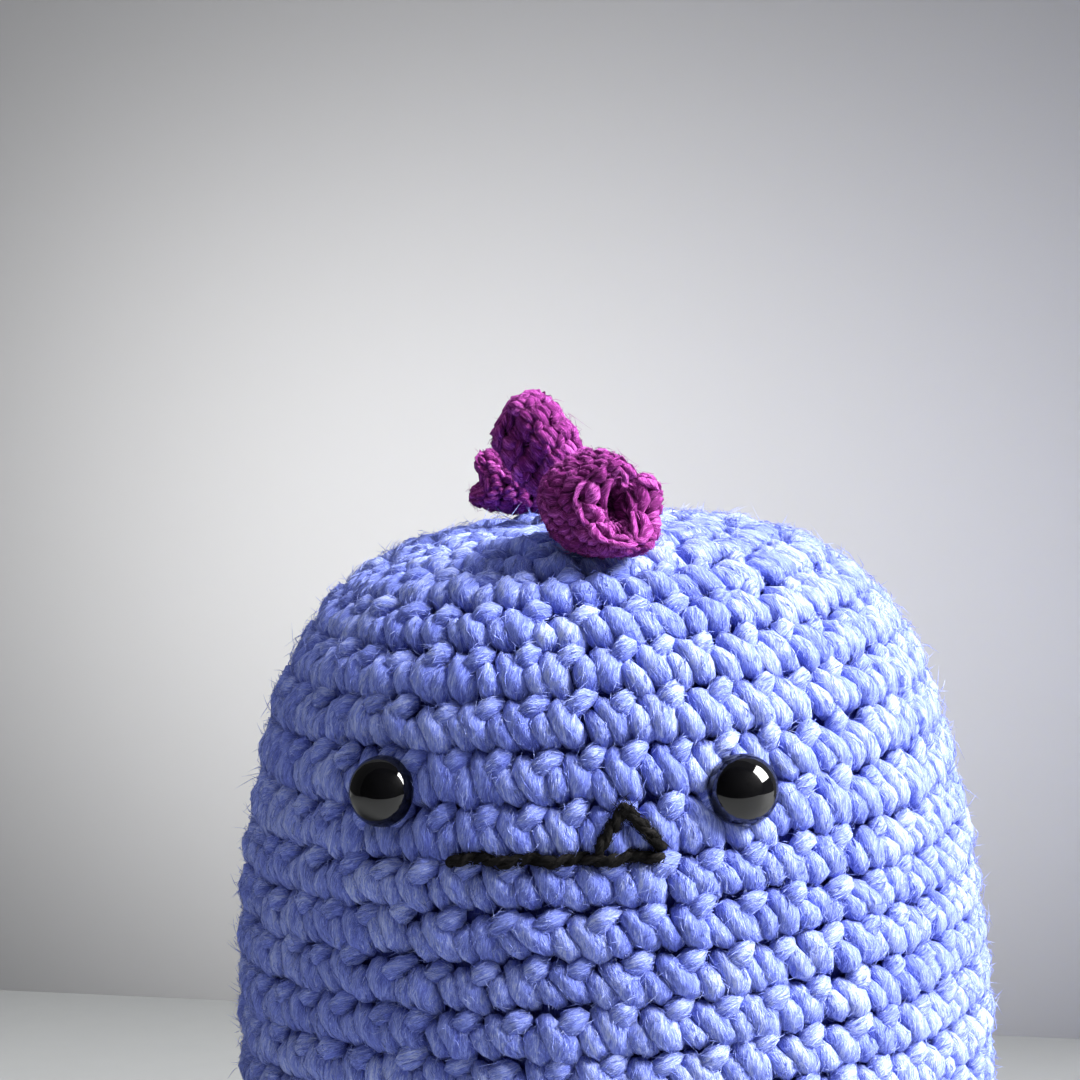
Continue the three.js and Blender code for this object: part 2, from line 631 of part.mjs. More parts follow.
export default toy;
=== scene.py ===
"""The looks of a crocheted toy dinosaur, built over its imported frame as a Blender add-on."""

import json
import math

import bpy
import numpy as np
from mathutils import Matrix, Vector


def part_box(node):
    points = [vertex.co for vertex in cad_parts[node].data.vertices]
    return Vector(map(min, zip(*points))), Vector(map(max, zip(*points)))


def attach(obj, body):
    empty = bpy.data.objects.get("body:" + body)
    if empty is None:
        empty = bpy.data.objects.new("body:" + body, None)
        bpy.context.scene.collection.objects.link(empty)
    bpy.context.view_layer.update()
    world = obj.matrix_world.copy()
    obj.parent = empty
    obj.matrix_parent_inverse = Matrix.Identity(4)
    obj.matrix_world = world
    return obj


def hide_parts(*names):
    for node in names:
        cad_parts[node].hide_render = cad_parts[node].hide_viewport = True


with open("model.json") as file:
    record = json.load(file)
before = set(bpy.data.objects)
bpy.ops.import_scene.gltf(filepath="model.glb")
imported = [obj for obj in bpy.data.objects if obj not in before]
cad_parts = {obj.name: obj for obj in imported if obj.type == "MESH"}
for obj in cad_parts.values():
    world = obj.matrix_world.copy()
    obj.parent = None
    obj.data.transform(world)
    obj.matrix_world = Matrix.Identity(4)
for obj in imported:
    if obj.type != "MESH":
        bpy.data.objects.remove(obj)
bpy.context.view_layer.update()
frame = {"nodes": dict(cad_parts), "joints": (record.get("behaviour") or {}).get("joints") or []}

bl_info = {
    "name": "Crocheted Dinosaur",
    "version": (1, 0, 0),
    "blender": (4, 5, 0),
    "location": "View3D > Sidebar > Dinosaur",
    "description": "Builds a crocheted toy dinosaur stitch by stitch over its packed frame",
    "category": "Add Mesh",
}

MM = 0.001
TURN = 2 * math.pi
SIDES = (("left", 1), ("right", -1))
UP = (0, 0, 1.0)
# Where each moving body hangs or stands.
HINGES = {joint["child"]: joint["pos_m"] for joint in frame["joints"]}
# A spike of the frame that reaches so far off its axis is made at full size.
SPIKE_WIDEST = 6.3 * MM
# How far the rims of the first two spikes are bent off their axes.
SPIKE_BENDS = {"spike_1": (2.6 * MM, -0.4 * MM, -1.4 * MM), "spike_2": (-0.6 * MM, 0.0, 2.0 * MM)}

# One single crochet stitch as three lobes of yarn: a leg, a fatter leg beside it, both slanting down to one
# side, and above them a cap that slants the other way. Each row is a place across the stitch and down the
# round, both as shares, then the depth of the yarn's middle and its thickness, both in yarn radii. The first
# and last rows are the lobe's closed ends.
STITCH = (
    {"sides": 6, "path": ((-0.12, 0.26, -2.1, 0), (-0.08, 0.35, -1.5, 0.82), (-0.01, 0.49, -1.05, 1.08),
                          (0.10, 0.65, -0.93, 1.18), (0.19, 0.79, -1.02, 1.12), (0.25, 0.89, -1.36, 0.92),
                          (0.285, 0.955, -1.85, 0.56), (0.30, 0.99, -2.3, 0))},
    {"sides": 7, "path": ((0.20, 0.06, -2.2, 0), (0.25, 0.15, -1.5, 0.86), (0.37, 0.33, -1.05, 1.22),
                          (0.52, 0.54, -0.92, 1.36), (0.65, 0.73, -1.02, 1.28), (0.75, 0.86, -1.36, 1.02),
                          (0.805, 0.94, -1.85, 0.60), (0.82, 0.98, -2.3, 0))},
    {"sides": 6, "path": ((0.54, 0.47, -1.6, 0), (0.61, 0.37, -1.02, 0.88), (0.72, 0.25, -0.74, 1.08),
                          (0.84, 0.14, -0.78, 1.10), (0.95, 0.05, -1.2, 0.92), (1.0, -0.02, -2.0, 0))},
)
# The yarn's twist: one turn in so many of its own radii.
TWIST = 9
# Rounds grow by so many stitches, and each has a share of a stitch less, so that the stitches lean.
INCREASE = 6
LESS_PER_ROUND = 0.3
# How unevenly a hand works, as the usual error: of a stitch's size and place across, down and out, of each
# lobe's place, of the lean and of the yarn's skin. Across and down are shares of the stitch, and a place out
# and the skin are in yarn radii.
UNEVEN_SIZE = (0.05, 0.045, 0.07)
UNEVEN_PLACE = (0.035, 0.035, 0.08)
UNEVEN_LOBE = (0.03, 0.03, 0.10)
UNEVEN_LEAN = 0.08
UNEVEN_SKIN = 0.055
# How far the yarn sways aside on its way down, as a share of the stitch.
SWAY = 0.035
# How far wisps and loose fibres head off the yarn's own way, in radians, as the usual error.
LYING = 0.3
ASTRAY = 1.2
# Painted shade: the yarn is painted darkest so many radii deep, with this share of its brightness.
PAINTED_SHADE_DEEPEST = 2.3
PAINTED_SHADE_DARKEST = 0.1
# One chain of a finished edge as two strands that lie side by side and meet under the next chain.
CHAIN = (
    {"sides": 6, "path": ((-0.16, 0.40, -1.2, 0), (-0.02, 0.30, -0.5, 0.80), (0.28, 0.20, 0.0, 1.0),
                          (0.62, 0.26, 0.05, 1.0), (0.92, 0.42, -0.5, 0.76), (1.04, 0.48, -1.2, 0))},
    {"sides": 6, "path": ((-0.16, 0.62, -1.2, 0), (-0.02, 0.72, -0.5, 0.80), (0.28, 0.82, 0.0, 1.0),
                          (0.62, 0.76, 0.05, 1.0), (0.92, 0.60, -0.5, 0.76), (1.04, 0.54, -1.2, 0))},
)


def linear(text):
    """An sRGB hex colour as linear red, green, blue and alpha."""
    shares = [int(text[i:i + 2], 16) / 255 for i in (1, 3, 5)]
    return [x / 12.92 if x <= 0.04045 else ((x + 0.055) / 1.055) ** 2.4 for x in shares] + [1.0]


def length(name, millimetres, description):
    """A length property, given in millimetres."""
    return bpy.props.FloatProperty(
        name=name, description=description, default=millimetres * MM, min=0, precision=5,
        unit="LENGTH", subtype="DISTANCE")


def angle(name, degrees, description):
    """An angle property, given in degrees."""
    return bpy.props.FloatProperty(
        name=name, description=description, default=math.radians(degrees), unit="ROTATION", subtype="ANGLE")


def number(name, value, description):
    """A plain number property."""
    return bpy.props.FloatProperty(name=name, description=description, default=value)


def whole(name, value, description, least=0):
    """A whole number property."""
    return bpy.props.IntProperty(name=name, description=description, default=value, min=least)


def colour(name, text, description):
    """A colour property, given as sRGB hex."""
    return bpy.props.FloatVectorProperty(
        name=name, description=description, default=linear(text), size=4, min=0, max=1, subtype="COLOR")


class ToySizes(bpy.types.PropertyGroup):
    """Sizes of the toy: the frame's own, with small changes where the yarn needs room."""

    stitch_width: length("Stitch width", 5.3, "One stitch along the round, before the last increase")
    most_stitches: whole("Most stitches", 48, "Stitches in a round after the increases", 6)
    crown_round: length("Crown round", 6.06, "One round on the crown, along the fabric")
    side_round: length("Side round", 5.25, "One round below the face, along the fabric")
    crown_rounds: whole("Crown rounds", 10, "Rounds from the crown down to the mouth", 1)
    yarn: length("Yarn radius", 1.3, "Half the thickness of the body's yarn in a stitch")
    fabric: length("Fabric thickness", 4.2, "Thickness of the crocheted wall")
    body_height: length("Body height", 106, "From the table to the crown")
    body_radius: length("Body radius", 45, "At the widest place")
    widest_below_crown: length("Widest below crown", 62, "Drop from the crown to the widest place")
    dome_radius: length("Dome radius", 33.3, "Share of the radius that the crown's dome makes")
    dome_depth: length("Dome depth", 29, "Drop over which the dome reaches its radius")
    dome_shoulder: number("Dome shoulder", 3.55, "First exponent of the dome's outline")
    dome_top: number("Dome top", 3.32, "Second exponent of the dome's outline")
    bottom_roundness: number("Bottom roundness", 3.2, "Exponent of the bottom's outline, 2 is an ellipse")
    flattened: length("Flattened", 1.2, "How far the table presses the base and the feet flat")
    eye_diameter: length("Eye diameter", 8, "Across the plastic eye")
    eye_dome: length("Eye dome", 3.4, "Height of the eye's dome over its rim")
    eye_rim: length("Eye rim", 0.7, "Thickness of the eye's rim")
    eye_seat: length("Eye seat", 1, "How far the eye is pulled into the fabric")
    eye_angle: angle("Eye angle", 29.9, "To each side of the face's middle")
    eye_below_crown: length("Eye below crown", 25.85, "Drop from the crown to the eyes")
    eye_dent: length("Eye dent", 0.9, "How far an eye presses the stitches round it in")
    eye_dent_reach: length("Eye dent reach", 7.6, "How far from an eye's middle its dent ends")
    eye_uneven: length("Eye uneven", 0.25, "How far the right eye sits above the middle, and the left below")
    mouth_below_crown: length("Mouth below crown", 32.3, "Drop from the crown to the mouth")
    mouth_angle: angle("Mouth half angle", 15.9, "From the face's middle to each end of the mouth")
    mouth_stitches: whole("Mouth stitches", 4, "Back stitches along the mouth", 1)
    tooth_left: angle("Tooth left", 6.8, "The tooth's left foot, from the face's middle")
    tooth_peak: angle("Tooth peak", 10.8, "The tooth's peak, from the face's middle")
    tooth_height: length("Tooth height", 5.4, "From the mouth to the tooth's peak")
    thread: length("Thread radius", 0.72, "Half the thickness of the black yarn")
    foot_half_width: length("Foot half width", 12.5, "Half the width of a foot")
    foot_half_height: length("Foot half height", 9, "Half the height of a foot before it is flattened")
    foot_reach: length("Foot reach", 15, "How far a foot stands out from the body")
    foot_angle: angle("Foot angle", 27, "To each side of the face's middle")
    tail_radius: length("Tail radius", 18, "At the tail's root")
    tail_reach: length("Tail reach", 40, "How far the tail stands out from the body")
    tail_height: length("Tail height", 25, "Middle of the tail's root above the table")
    tail_tip_height: length("Tail tip height", 9, "Middle of the tail's tip above the table")
    tail_tip_radius: length("Tail tip radius", 5, "Radius of the blunt tip")
    arm_half_width: length("Arm half width", 6, "Half the width of an arm")
    arm_half_thickness: length("Arm half thickness", 5, "Half the thickness of an arm")
    arm_length: length("Arm length", 20, "From the sewn edge to the hand")
    arm_seam: length("Arm seam", 4.6, "Half the length of the arm's sewn edge")
    arm_angle: angle("Arm angle", 62, "To each side of the face's middle")
    arm_tilt: angle("Arm tilt", 16, "Out from straight down")
    shoulder_height: length("Shoulder height", 40, "The arm's sewn edge above the table")
    sewing: length("Sewing yarn radius", 1.1, "Half the thickness of the yarn that sews the limbs on")
    spike_stitch: length("Spike stitch", 2.45, "Width of one stitch of a spike")
    spike_round: length("Spike round", 2.1, "Height of one round of a spike")
    spike_yarn: length("Spike yarn radius", 0.56, "Half the thickness of the spikes' yarn in a stitch")
    spike_radius: length("Spike radius", 6.1, "At a spike's widest place")
    spike_length: length("Spike length", 10.6, "From the middle of a spike's foot to its rim")
    spike_foot: length("Spike foot", 3.4, "Radius of a spike's sewn foot")
    spike_rim: length("Spike rim", 4.6, "Radius of a spike's rim")
    spike_hollow: length("Spike hollow", 6.2, "Depth of the curl's open end")
    wisp: length("Wisp length", 2.2, "Usual length of a wisp of fibres on the yarn's skin")
    wisp_radius: length("Wisp radius", 0.065, "Half the thickness of such a wisp")
    wisp_each: whole("Wisps", 48, "Wisps on a stitch")
    fuzz: length("Fuzz length", 1.6, "Usual length of the loose fibres")
    fibre: length("Fibre radius", 0.04, "Half the thickness of a stray fibre, drawn coarse enough to show")
    fuzz_each: whole("Fuzz", 72, "Loose fibres on a stitch")


class ToyColours(bpy.types.PropertyGroup):
    """Colours of the toy and of the stage."""

    # Each yarn's lit-fibre colour is painted highlight, and also its sheen tint; its deep-fibre colour is
    # painted shade for the yarn deep between the stitches
    body: colour("Body yarn", "#8091EE", "Yarn of the body and limbs")
    body_light: colour("Body yarn, lit fibres", "#BDCAFC", "Pale fibres of that yarn")
    body_shade: colour("Body yarn, deep fibres", "#202DA4", "Fibres deep between the stitches")
    spike: colour("Spike yarn", "#781F70", "Yarn of the spikes")
    spike_light: colour("Spike yarn, lit fibres", "#CE68C6", "Pale fibres of that yarn")
    spike_shade: colour("Spike yarn, deep fibres", "#26041F", "Fibres deep between the stitches")
    black: colour("Black yarn", "#0E0D0E", "Yarn of the mouth")
    black_light: colour("Black yarn, lit fibres", "#2C2929", "Pale fibres of that yarn")
    black_shade: colour("Black yarn, deep fibres", "#040404", "Fibres deep in the twist")
    eye: colour("Eyes", "#08080A", "Plastic of the eyes")
    washer: colour("Washers", "#E6E4DC", "Plastic of the lock washers")
    fill: colour("Fibre fill", "#F4F2EC", "Stuffing")
    backdrop: colour("Backdrop", "#F4F4F5", "Paper behind the toy")
    # Painted shade: the backdrop darkens to this colour away from its middle
    backdrop_painted_shade: colour("Backdrop edge", "#9A9A9C", "The same paper away from its middle")
    floor: colour("Floor", "#989A9B", "Table that the toy sits on")


# Shapes


class Surface:
    """A surface as a function of an angle round it and a distance along it, both arrays."""

    def __init__(self, point, extent):
        self.point = point
        self.extent = extent
        places, turns = 240, 61
        self.places = np.linspace(0, extent, places)
        turn = np.linspace(0, TURN, turns)
        rings = point(turn[None, :], self.places[:, None])
        self.girths = np.linalg.norm(np.diff(rings, axis=1), axis=2).sum(axis=1)

    def normal(self, around, along):
        """The outward direction: the slope along the surface crossed with the slope round it."""
        small, turn = 5e-5, 1e-3
        along = np.clip(along, 6 * small, self.extent - 6 * small)
        ahead = self.point(around, along + small) - self.point(around, along - small)
        aside = self.point(around + turn, along) - self.point(around - turn, along)
        out = np.cross(ahead, aside)
        return out / np.maximum(np.linalg.norm(out, axis=-1, keepdims=True), 1e-15)

    def at(self, around, along, out):
        """The point at a distance out from the surface."""
        around, along, out = np.broadcast_arrays(around, along, out)
        return self.point(around, along) + self.normal(around, along) * out[..., None]


class Shape:
    """Points and faces gathered for one piece, with the yarn's own coordinates at each point."""

    def __init__(self):
        self.points, self.faces, self.strands, self.tints, self.depths = [], [], [], [], []
        self.count = 0

    def add(self, points, faces, strands=None, tint=0.5, depth=1.0):
        """Adds points, rows of faces that index them, and their strand, tint and depth values. The depth is
        painted shade: below 1 it mixes the yarn's shade colour in.
        """
        points = points.reshape(-1, 3)
        self.points.append(points)
        self.faces += [rows + self.count for rows in faces]
        self.strands.append(points / MM if strands is None else strands.reshape(-1, 3))
        self.tints.append(np.broadcast_to(tint, len(points)))
        self.depths.append(np.broadcast_to(depth, len(points)))
        self.count += len(points)

    def piece(self, name, body, slot, material, replaces=()):
        """Makes the piece: one smooth mesh, kept above the table, that rides on a body and takes the finish
        it is given. The slot is not used."""
        points = np.concatenate(self.points)
        points[:, 2] = np.maximum(points[:, 2], 0)
        mesh = bpy.data.meshes.new(name)
        corners = np.concatenate([rows.ravel() for rows in self.faces])
        sizes = np.concatenate([np.full(len(rows), rows.shape[1]) for rows in self.faces])
        mesh.vertices.add(self.count)
        mesh.vertices.foreach_set("co", points.astype(np.float32).ravel())
        mesh.loops.add(len(corners))
        mesh.loops.foreach_set("vertex_index", corners.astype(np.int32))
        mesh.polygons.add(len(sizes))
        mesh.polygons.foreach_set("loop_start", (np.cumsum(sizes) - sizes).astype(np.int32))
        mesh.polygons.foreach_set("use_smooth", np.ones(len(sizes), bool))
        # The depth attribute carries the painted shade to the yarn materials
        for label, kind, key, parts in (("strand", "FLOAT_VECTOR", "vector", self.strands),
                                        ("tint", "FLOAT", "value", self.tints),
                                        ("depth", "FLOAT", "value", self.depths)):
            values = np.concatenate(parts).astype(np.float32).ravel()
            mesh.attributes.new(label, kind, "POINT").data.foreach_set(key, values)
        mesh.update(calc_edges=True)
        mesh.materials.append(material)
        piece = bpy.data.objects.new(name, mesh)
        bpy.context.collection.objects.link(piece)
        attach(piece, body)
        if replaces:
            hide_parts(*replaces)
        return piece


def unit(vectors):
    """Vectors made one long."""
    return vectors / np.maximum(np.linalg.norm(vectors, axis=-1, keepdims=True), 1e-15)


def smooth(share):
    """A smooth step: 3x^2 - 2x^3 between 0 and 1."""
    x = np.clip(share, 0, 1)
    return x * x * (3 - 2 * x)


def mix(low, high, share):
    """From low at 0 to high at 1."""
    return low + (high - low) * share


def circle(steps):
    """Even angles round one turn."""
    return np.arange(steps) / steps * TURN


def distances(line):
    """How far along a line of points each of them lies."""
    return np.concatenate([[0], np.cumsum(np.linalg.norm(np.diff(line, axis=0), axis=1))])


def placed(points, place):
    """Points turned and moved by a matrix."""
    return points @ np.array(place.to_3x3()).T + np.array(place.translation)


def grid_faces(rows, columns, ring=False):
    """Faces of a grid that closes round its columns. A ring closes round its rows too, and any other grid has
    a pole before its first row and after its last."""
    side = np.arange(columns)
    after = (side + 1) % columns
    row = np.arange(rows if ring else rows - 1)[:, None]
    start, end = row * columns, (row + 1) % rows * columns
    quads = np.stack(np.broadcast_arrays(start + side, start + after, end + after, end + side), -1)
    quads = quads.reshape(-1, 4)
    if ring:
        return [quads]
    last = (rows - 1) * columns
    first_pole, last_pole = np.full((2, columns), rows * columns) + [[0], [1]]
    fans = np.concatenate([np.stack([after, side, first_pole], -1),
                           np.stack([last + side, last + after, last_pole], -1)])
    return [quads, fans]


def turned(faces):
    """The same faces seen from their other side."""
    return [rows[:, ::-1] for rows in faces]


def closed_tube(path, radius, sides, out, twist=0.0):
    """Closed tubes along paths, as points, yarn coordinates and faces: a ring of the given radius stands
    across each inner point of the path, and the path's two ends are the poles that close it. The yarn
    coordinates are those of the same yarn pulled straight, turned by the twist for each metre, in
    millimetres."""
    ahead = unit(np.gradient(path, axis=-2))[..., 1:-1, :]
    inner, ends = path[..., 1:-1, :], path[..., [0, -1], :]
    radius = np.broadcast_to(radius, inner.shape[:-1])[..., None]
    aside = unit(np.cross(np.broadcast_to(out, path.shape)[..., 1:-1, :], ahead))
    above = np.cross(ahead, aside)
    turn = circle(sides)
    across = np.cos(turn)[:, None] * aside[..., None, :] + np.sin(turn)[:, None] * above[..., None, :]
    rings = inner[..., None, :] + radius[..., None] * across
    flat_shape = (*path.shape[:-2], -1, 3)
    points = np.concatenate([rings.reshape(flat_shape), ends], -2)
    steps = np.linalg.norm(np.diff(path, axis=-2), axis=-1)
    along = np.concatenate([np.zeros_like(steps[..., :1]), np.cumsum(steps, -1)], -1)[..., None]
    wound = turn + twist * along[..., 1:-1, :]
    straight = np.stack([radius * np.cos(wound), radius * np.sin(wound), along[..., 1:-1, :] + 0 * turn], -1)
    tips = np.concatenate([0 * ends[..., :2], along[..., [0, -1], :]], -1)
    strands = np.concatenate([straight.reshape(flat_shape), tips], -2) / MM
    return points, strands, grid_faces(inner.shape[-2], sides)


def copies(faces, count, step):
    """Faces repeated for a number of copies whose points lie a step apart."""
    first = np.arange(count)[:, None, None] * step
    return [(rows[None] + first).reshape(-1, rows.shape[1]) for rows in faces]


def even_steps(share):
    """Whole numbers with smooth but quick changes, halfway from one to the next."""
    low = np.floor(share)
    starts, lasts = 0.3, 0.4
    return low + smooth((share - low - starts) / lasts)


def between(table, at):
    """The rows of a table at places between them."""
    low = np.minimum(at.astype(int), len(table) - 2)
    return mix(table[low], table[low + 1], (at - low)[..., None])


class Crochet:
    """Single crochet worked in one spiral over a surface.
    Turn x of the spiral starts at the distance rows[x] along the surface. The stitches in a turn are the
    girth there over the stitch width, rounded to whole increases, up to the most, and a little less, so
    that the stitches lean from round to round. Each fills the patch from its turn to the next, with the
    small changes that a hand makes."""

    def __init__(self, surface, rows, width, yarn, seed, keep=None, most=math.inf):
        rng = np.random.default_rng(seed)
        self.surface, self.rows, self.yarn, self.seed = surface, rows, yarn, seed
        self.size = np.array([width, np.mean(np.diff(rows)), 1])
        first, last, steps_each = -0.7, len(rows) - 1.3, 300
        turn = np.linspace(first, last, steps_each * len(rows))
        girth = np.interp(self.place(turn + 0.5), surface.places, surface.girths)
        increases = even_steps(np.maximum(girth / (INCREASE * width), 1))
        around = np.minimum(INCREASE * increases, most) - LESS_PER_ROUND
        passed = np.concatenate([[0], np.cumsum((around[1:] + around[:-1]) / 2 * np.diff(turn))])
        stitch = np.interp(np.arange(0.5, passed[-1]), passed, turn)
        if keep is not None:
            stitch = stitch[keep(surface.at(-TURN * stitch, self.place(stitch + 0.5), 0))]
        self.stitch, self.count = stitch, len(stitch)
        self.per_turn = np.interp(stitch, turn, around)
        self.tint = rng.random(self.count)
        in_yarn = np.array([1, 1, yarn])
        self.grow = 1 + rng.normal(0, UNEVEN_SIZE, (self.count, 3))
        self.shift = rng.normal(0, UNEVEN_PLACE * in_yarn, (self.count, 3))
        self.lean = rng.normal(0, UNEVEN_LEAN, self.count)
        self.stray = rng.normal(0, UNEVEN_LOBE * in_yarn, (len(STITCH), self.count, 3)) * self.size
        self.sway = rng.uniform(0, TURN, self.count)

    def place(self, turn):
        """The distance along the surface at a turn of the spiral."""
        return np.interp(turn, np.arange(len(self.rows)), self.rows)

    def warp(self, index, local):
        """Where points of stitches lie. Their own coordinates run across the stitch, down the round and out.
        The stitch is sized, shifted and leant, and sways aside as a sine, before it is laid on the spiral."""
        u, v, w = np.moveaxis(local / self.size - (0.5, 0.5, 0), -1, 0)
        grow, shift = self.grow[index, None], self.shift[index, None]
        sway = SWAY * np.sin(TURN * v + self.sway[index, None])
        u = u * grow[..., 0] + shift[..., 0] + self.lean[index, None] * v + sway
        v = 0.5 + v * grow[..., 1] + shift[..., 1]
        w = w * grow[..., 2] + shift[..., 2]
        turn = self.stitch[index, None] - u / self.per_turn[index, None]
        return self.surface.at(-TURN * turn, self.place(turn + v), w)

    def lay(self, shape, lobes=STITCH):
        """Lays the lobes of every stitch as closed tubes, a little lumpy and painted darker, as shade, the
        deeper they lie.
        """
        rng = np.random.default_rng(self.seed + 500)
        index = np.arange(self.count)
        # Each stitch shows another length of the yarn, in millimetres, by its number and by chance
        apart, scatter = 17.3, 60
        offset = (scatter * self.tint + apart * index)[:, None, None] * UP
        for lobe, stray in zip(lobes, self.stray):
            table = np.array(lobe["path"])
            path = table[:, :3] * self.size * (1, 1, self.yarn)
            points, strands, faces = closed_tube(path, table[1:-1, 3] * self.yarn, lobe["sides"], (0, 0, 1.0),
                                                 twist=TURN / (TWIST * self.yarn))
            # Painted shade: each point's depth value, lower the deeper it lies
            depth = self.lit(points[:, 2])
            lumps = rng.normal(0, UNEVEN_SKIN * self.yarn, (self.count, len(points), 3))
            shape.add(self.warp(index, points + stray[:, None] + lumps),
                      copies(turned(faces), self.count, len(points)), strands + offset,
                      np.repeat(self.tint, len(points)), np.tile(depth, self.count))

    def lit(self, out):
        """How bright the yarn is painted at a distance out: painted shade, dark deep between the stitches."""
        return mix(PAINTED_SHADE_DARKEST, 1, smooth((out / self.yarn + PAINTED_SHADE_DEEPEST) / PAINTED_SHADE_DEEPEST))

    def fibres(self, shape, index, reach, thick, lift, wander, seed, keep=None):
        """Fibres, one for each stitch number in index. Each starts on the skin of a lobe, heads along it or
        astray by the wander, winds round it as the yarn is twisted, bends to one side, as a square, and lifts
        off towards its end, as a square too. It is a thin closed spindle with one bend."""
        rng = np.random.default_rng(seed)
        step = np.array([0, 0.5, 1])
        # Lengths, in reaches, and the usual bend
        shortest, usual, longest = 0.45, 0.4, 1.7
        bends = 0.3 + 0.5 * wander
        # Fibres start up to so many radians round a lobe from its outermost line
        half_round = 1.6
        # They start so far from the lobe's middle and arch over that by so much, in its radii
        seated, arch = 0.95, 0.09
        # The radius that the thin ends of a lobe count as, in yarn radii
        thinnest = 0.4
        for lobe, stray, own in zip(STITCH, self.stray, np.array_split(index, len(STITCH))):
            table = np.array(lobe["path"])
            path = table[:, :3] * self.size * (1, 1, self.yarn)
            row = np.linalg.norm(np.diff(path, axis=0), axis=1).mean()
            each = (len(own), 1)
            # The rows of the lobe between which fibres start, and between which they stay
            starts, stays = (0.9, len(table) - 1.9), (0.6, len(table) - 1.6)
            size = reach * np.minimum(shortest + rng.exponential(usual, each), longest)
            heading = rng.normal(0, wander, each) + math.pi * rng.integers(0, 2, each)
            bend = rng.normal(0, bends, each) * step**2 / 2
            along = size * (np.cos(heading) * step - np.sin(heading) * bend)
            aside = size * (np.sin(heading) * step + np.cos(heading) * bend)
            at = np.clip(rng.uniform(*starts, each) + along / row, *stays)
            swing = rng.uniform(-half_round, half_round, each) + along * TURN / (TWIST * self.yarn)
            swing = swing + aside / self.yarn
            lifted = lift * np.abs(rng.normal(0, 1, each)) * step**2
            off = seated + arch * np.sin(math.pi * step) + lifted
            ahead = unit(between(np.gradient(path, axis=0), at))
            side = unit(np.cross((0, 0, 1.0), ahead))
            away = np.sin(swing)[..., None] * side + np.cos(swing)[..., None] * np.cross(ahead, side)
            radius = np.maximum(between(table, at)[..., 3], thinnest) * off * self.yarn
            line = between(path, at) + away * radius[..., None]
            # Painted shade: fibres deep among the lobes are painted darker
            lit = self.lit(line[..., 2])
            line = self.warp(own, line + stray[own, None])
            if keep is not None:
                kept = keep(line)
                line, lit = line[kept], lit[kept]
            points, strands, faces = closed_tube(line, thick, 3, unit(rng.normal(size=(len(line), 1, 3))))
            tint = rng.random(len(line))
            lit = np.concatenate([lit[:, [1, 1, 1]], lit[:, [0, 2]]], axis=1)
            shape.add(points, copies(faces, len(line), points.shape[1]), strands + 90 * tint[:, None, None],
                      tint.repeat(points.shape[1]), lit.ravel())


def skin(shape, surface, out, rows, columns, first=0.0, last=None, inside=False, depth=0.0):
    """A closed skin over a surface at a distance out from it, from one distance along it to another, which
    may differ round it. Rows lie closer together near the start, as a quarter cosine. Its depth sets its
    painted shade: at 0 it is wholly the shade colour."""
    last = surface.extent if last is None else last
    around = circle(columns)
    first_row = 0.02
    share = 1 - np.cos(np.linspace(first_row, 1, rows) * math.pi / 2)
    along = mix(first, last, share[:, None] + 0 * around)
    points = surface.at(around[None, :], along, out).reshape(-1, 3)
    poles = np.stack([points[:columns].mean(0), points[-columns:].mean(0)])
    faces = grid_faces(rows, columns)
    shape.add(np.concatenate([points, poles]), faces if inside else turned(faces), depth=depth)


def plied_yarn(shape, path, out, radius, plies=3, pitch=6.0, sides=8, seed=0):
    """Yarn of a few plies laid along a path: each ply's middle circles the path once in so many radii, and
    its round section, uneven as a sine, is carried along that line."""
    rng = np.random.default_rng(seed)
    along = distances(path)
    ahead = unit(np.gradient(path, axis=0))
    aside = unit(np.cross(ahead, out))
    above = np.cross(aside, ahead)
    off_middle, ply_radius, ply_twist = 0.38 * radius, 0.66 * radius, TURN / (5 * radius)
    swell, waves, apart = 0.1, 1.9, 23.0
    for ply in range(plies):
        turn = (along / (pitch * radius) + ply / plies)[:, None] * TURN
        middle = path + off_middle * (np.cos(turn) * aside + np.sin(turn) * above)
        uneven = 1 + swell * np.sin(along / radius * waves + rng.random() * TURN)
        points, strands, faces = closed_tube(middle, (ply_radius * uneven)[1:-1], sides, out, ply_twist)
        shape.add(points, faces, strands + [0, 0, apart * ply], tint=rng.random(), depth=0.8)


def resample(points, count):
    """A smooth line through points, as a number of points: Catmull-Rom through evenly numbered knots."""
    points = np.asarray(points, float)
    held = np.concatenate([[2 * points[0] - points[1]], points, [2 * points[-1] - points[-2]]])
    at = np.linspace(0, len(points) - 1, count)
    knot = np.minimum(at.astype(int), len(points) - 2)
    x = (at - knot)[:, None]
    a, b, c, d = (held[knot + i] for i in range(4))
    return 0.5 * (2 * b + (c - a) * x + (2 * a - 5 * b + 4 * c - d) * x**2 + (3 * b - a - 3 * c + d) * x**3)


def lathe(shape, profile, place, segments):
    """A profile of radii and heights turned about an axis, which a matrix places. A profile that starts and
    ends on the axis has its poles there, and any other closes on itself."""
    profile = np.asarray(profile, float)
    ring = profile[0, 0] > 0
    turn = circle(segments)
    inner = profile if ring else profile[1:-1]
    radius, height = inner[:, 0, None], inner[:, 1, None]
    points = np.stack([radius * np.cos(turn), radius * np.sin(turn), height + 0 * turn], -1).reshape(-1, 3)
    if not ring:
        points = np.concatenate([points, [[0, 0, profile[0, 1]], [0, 0, profile[-1, 1]]]])
    shape.add(placed(points, place), grid_faces(len(inner), segments, ring))


# The body


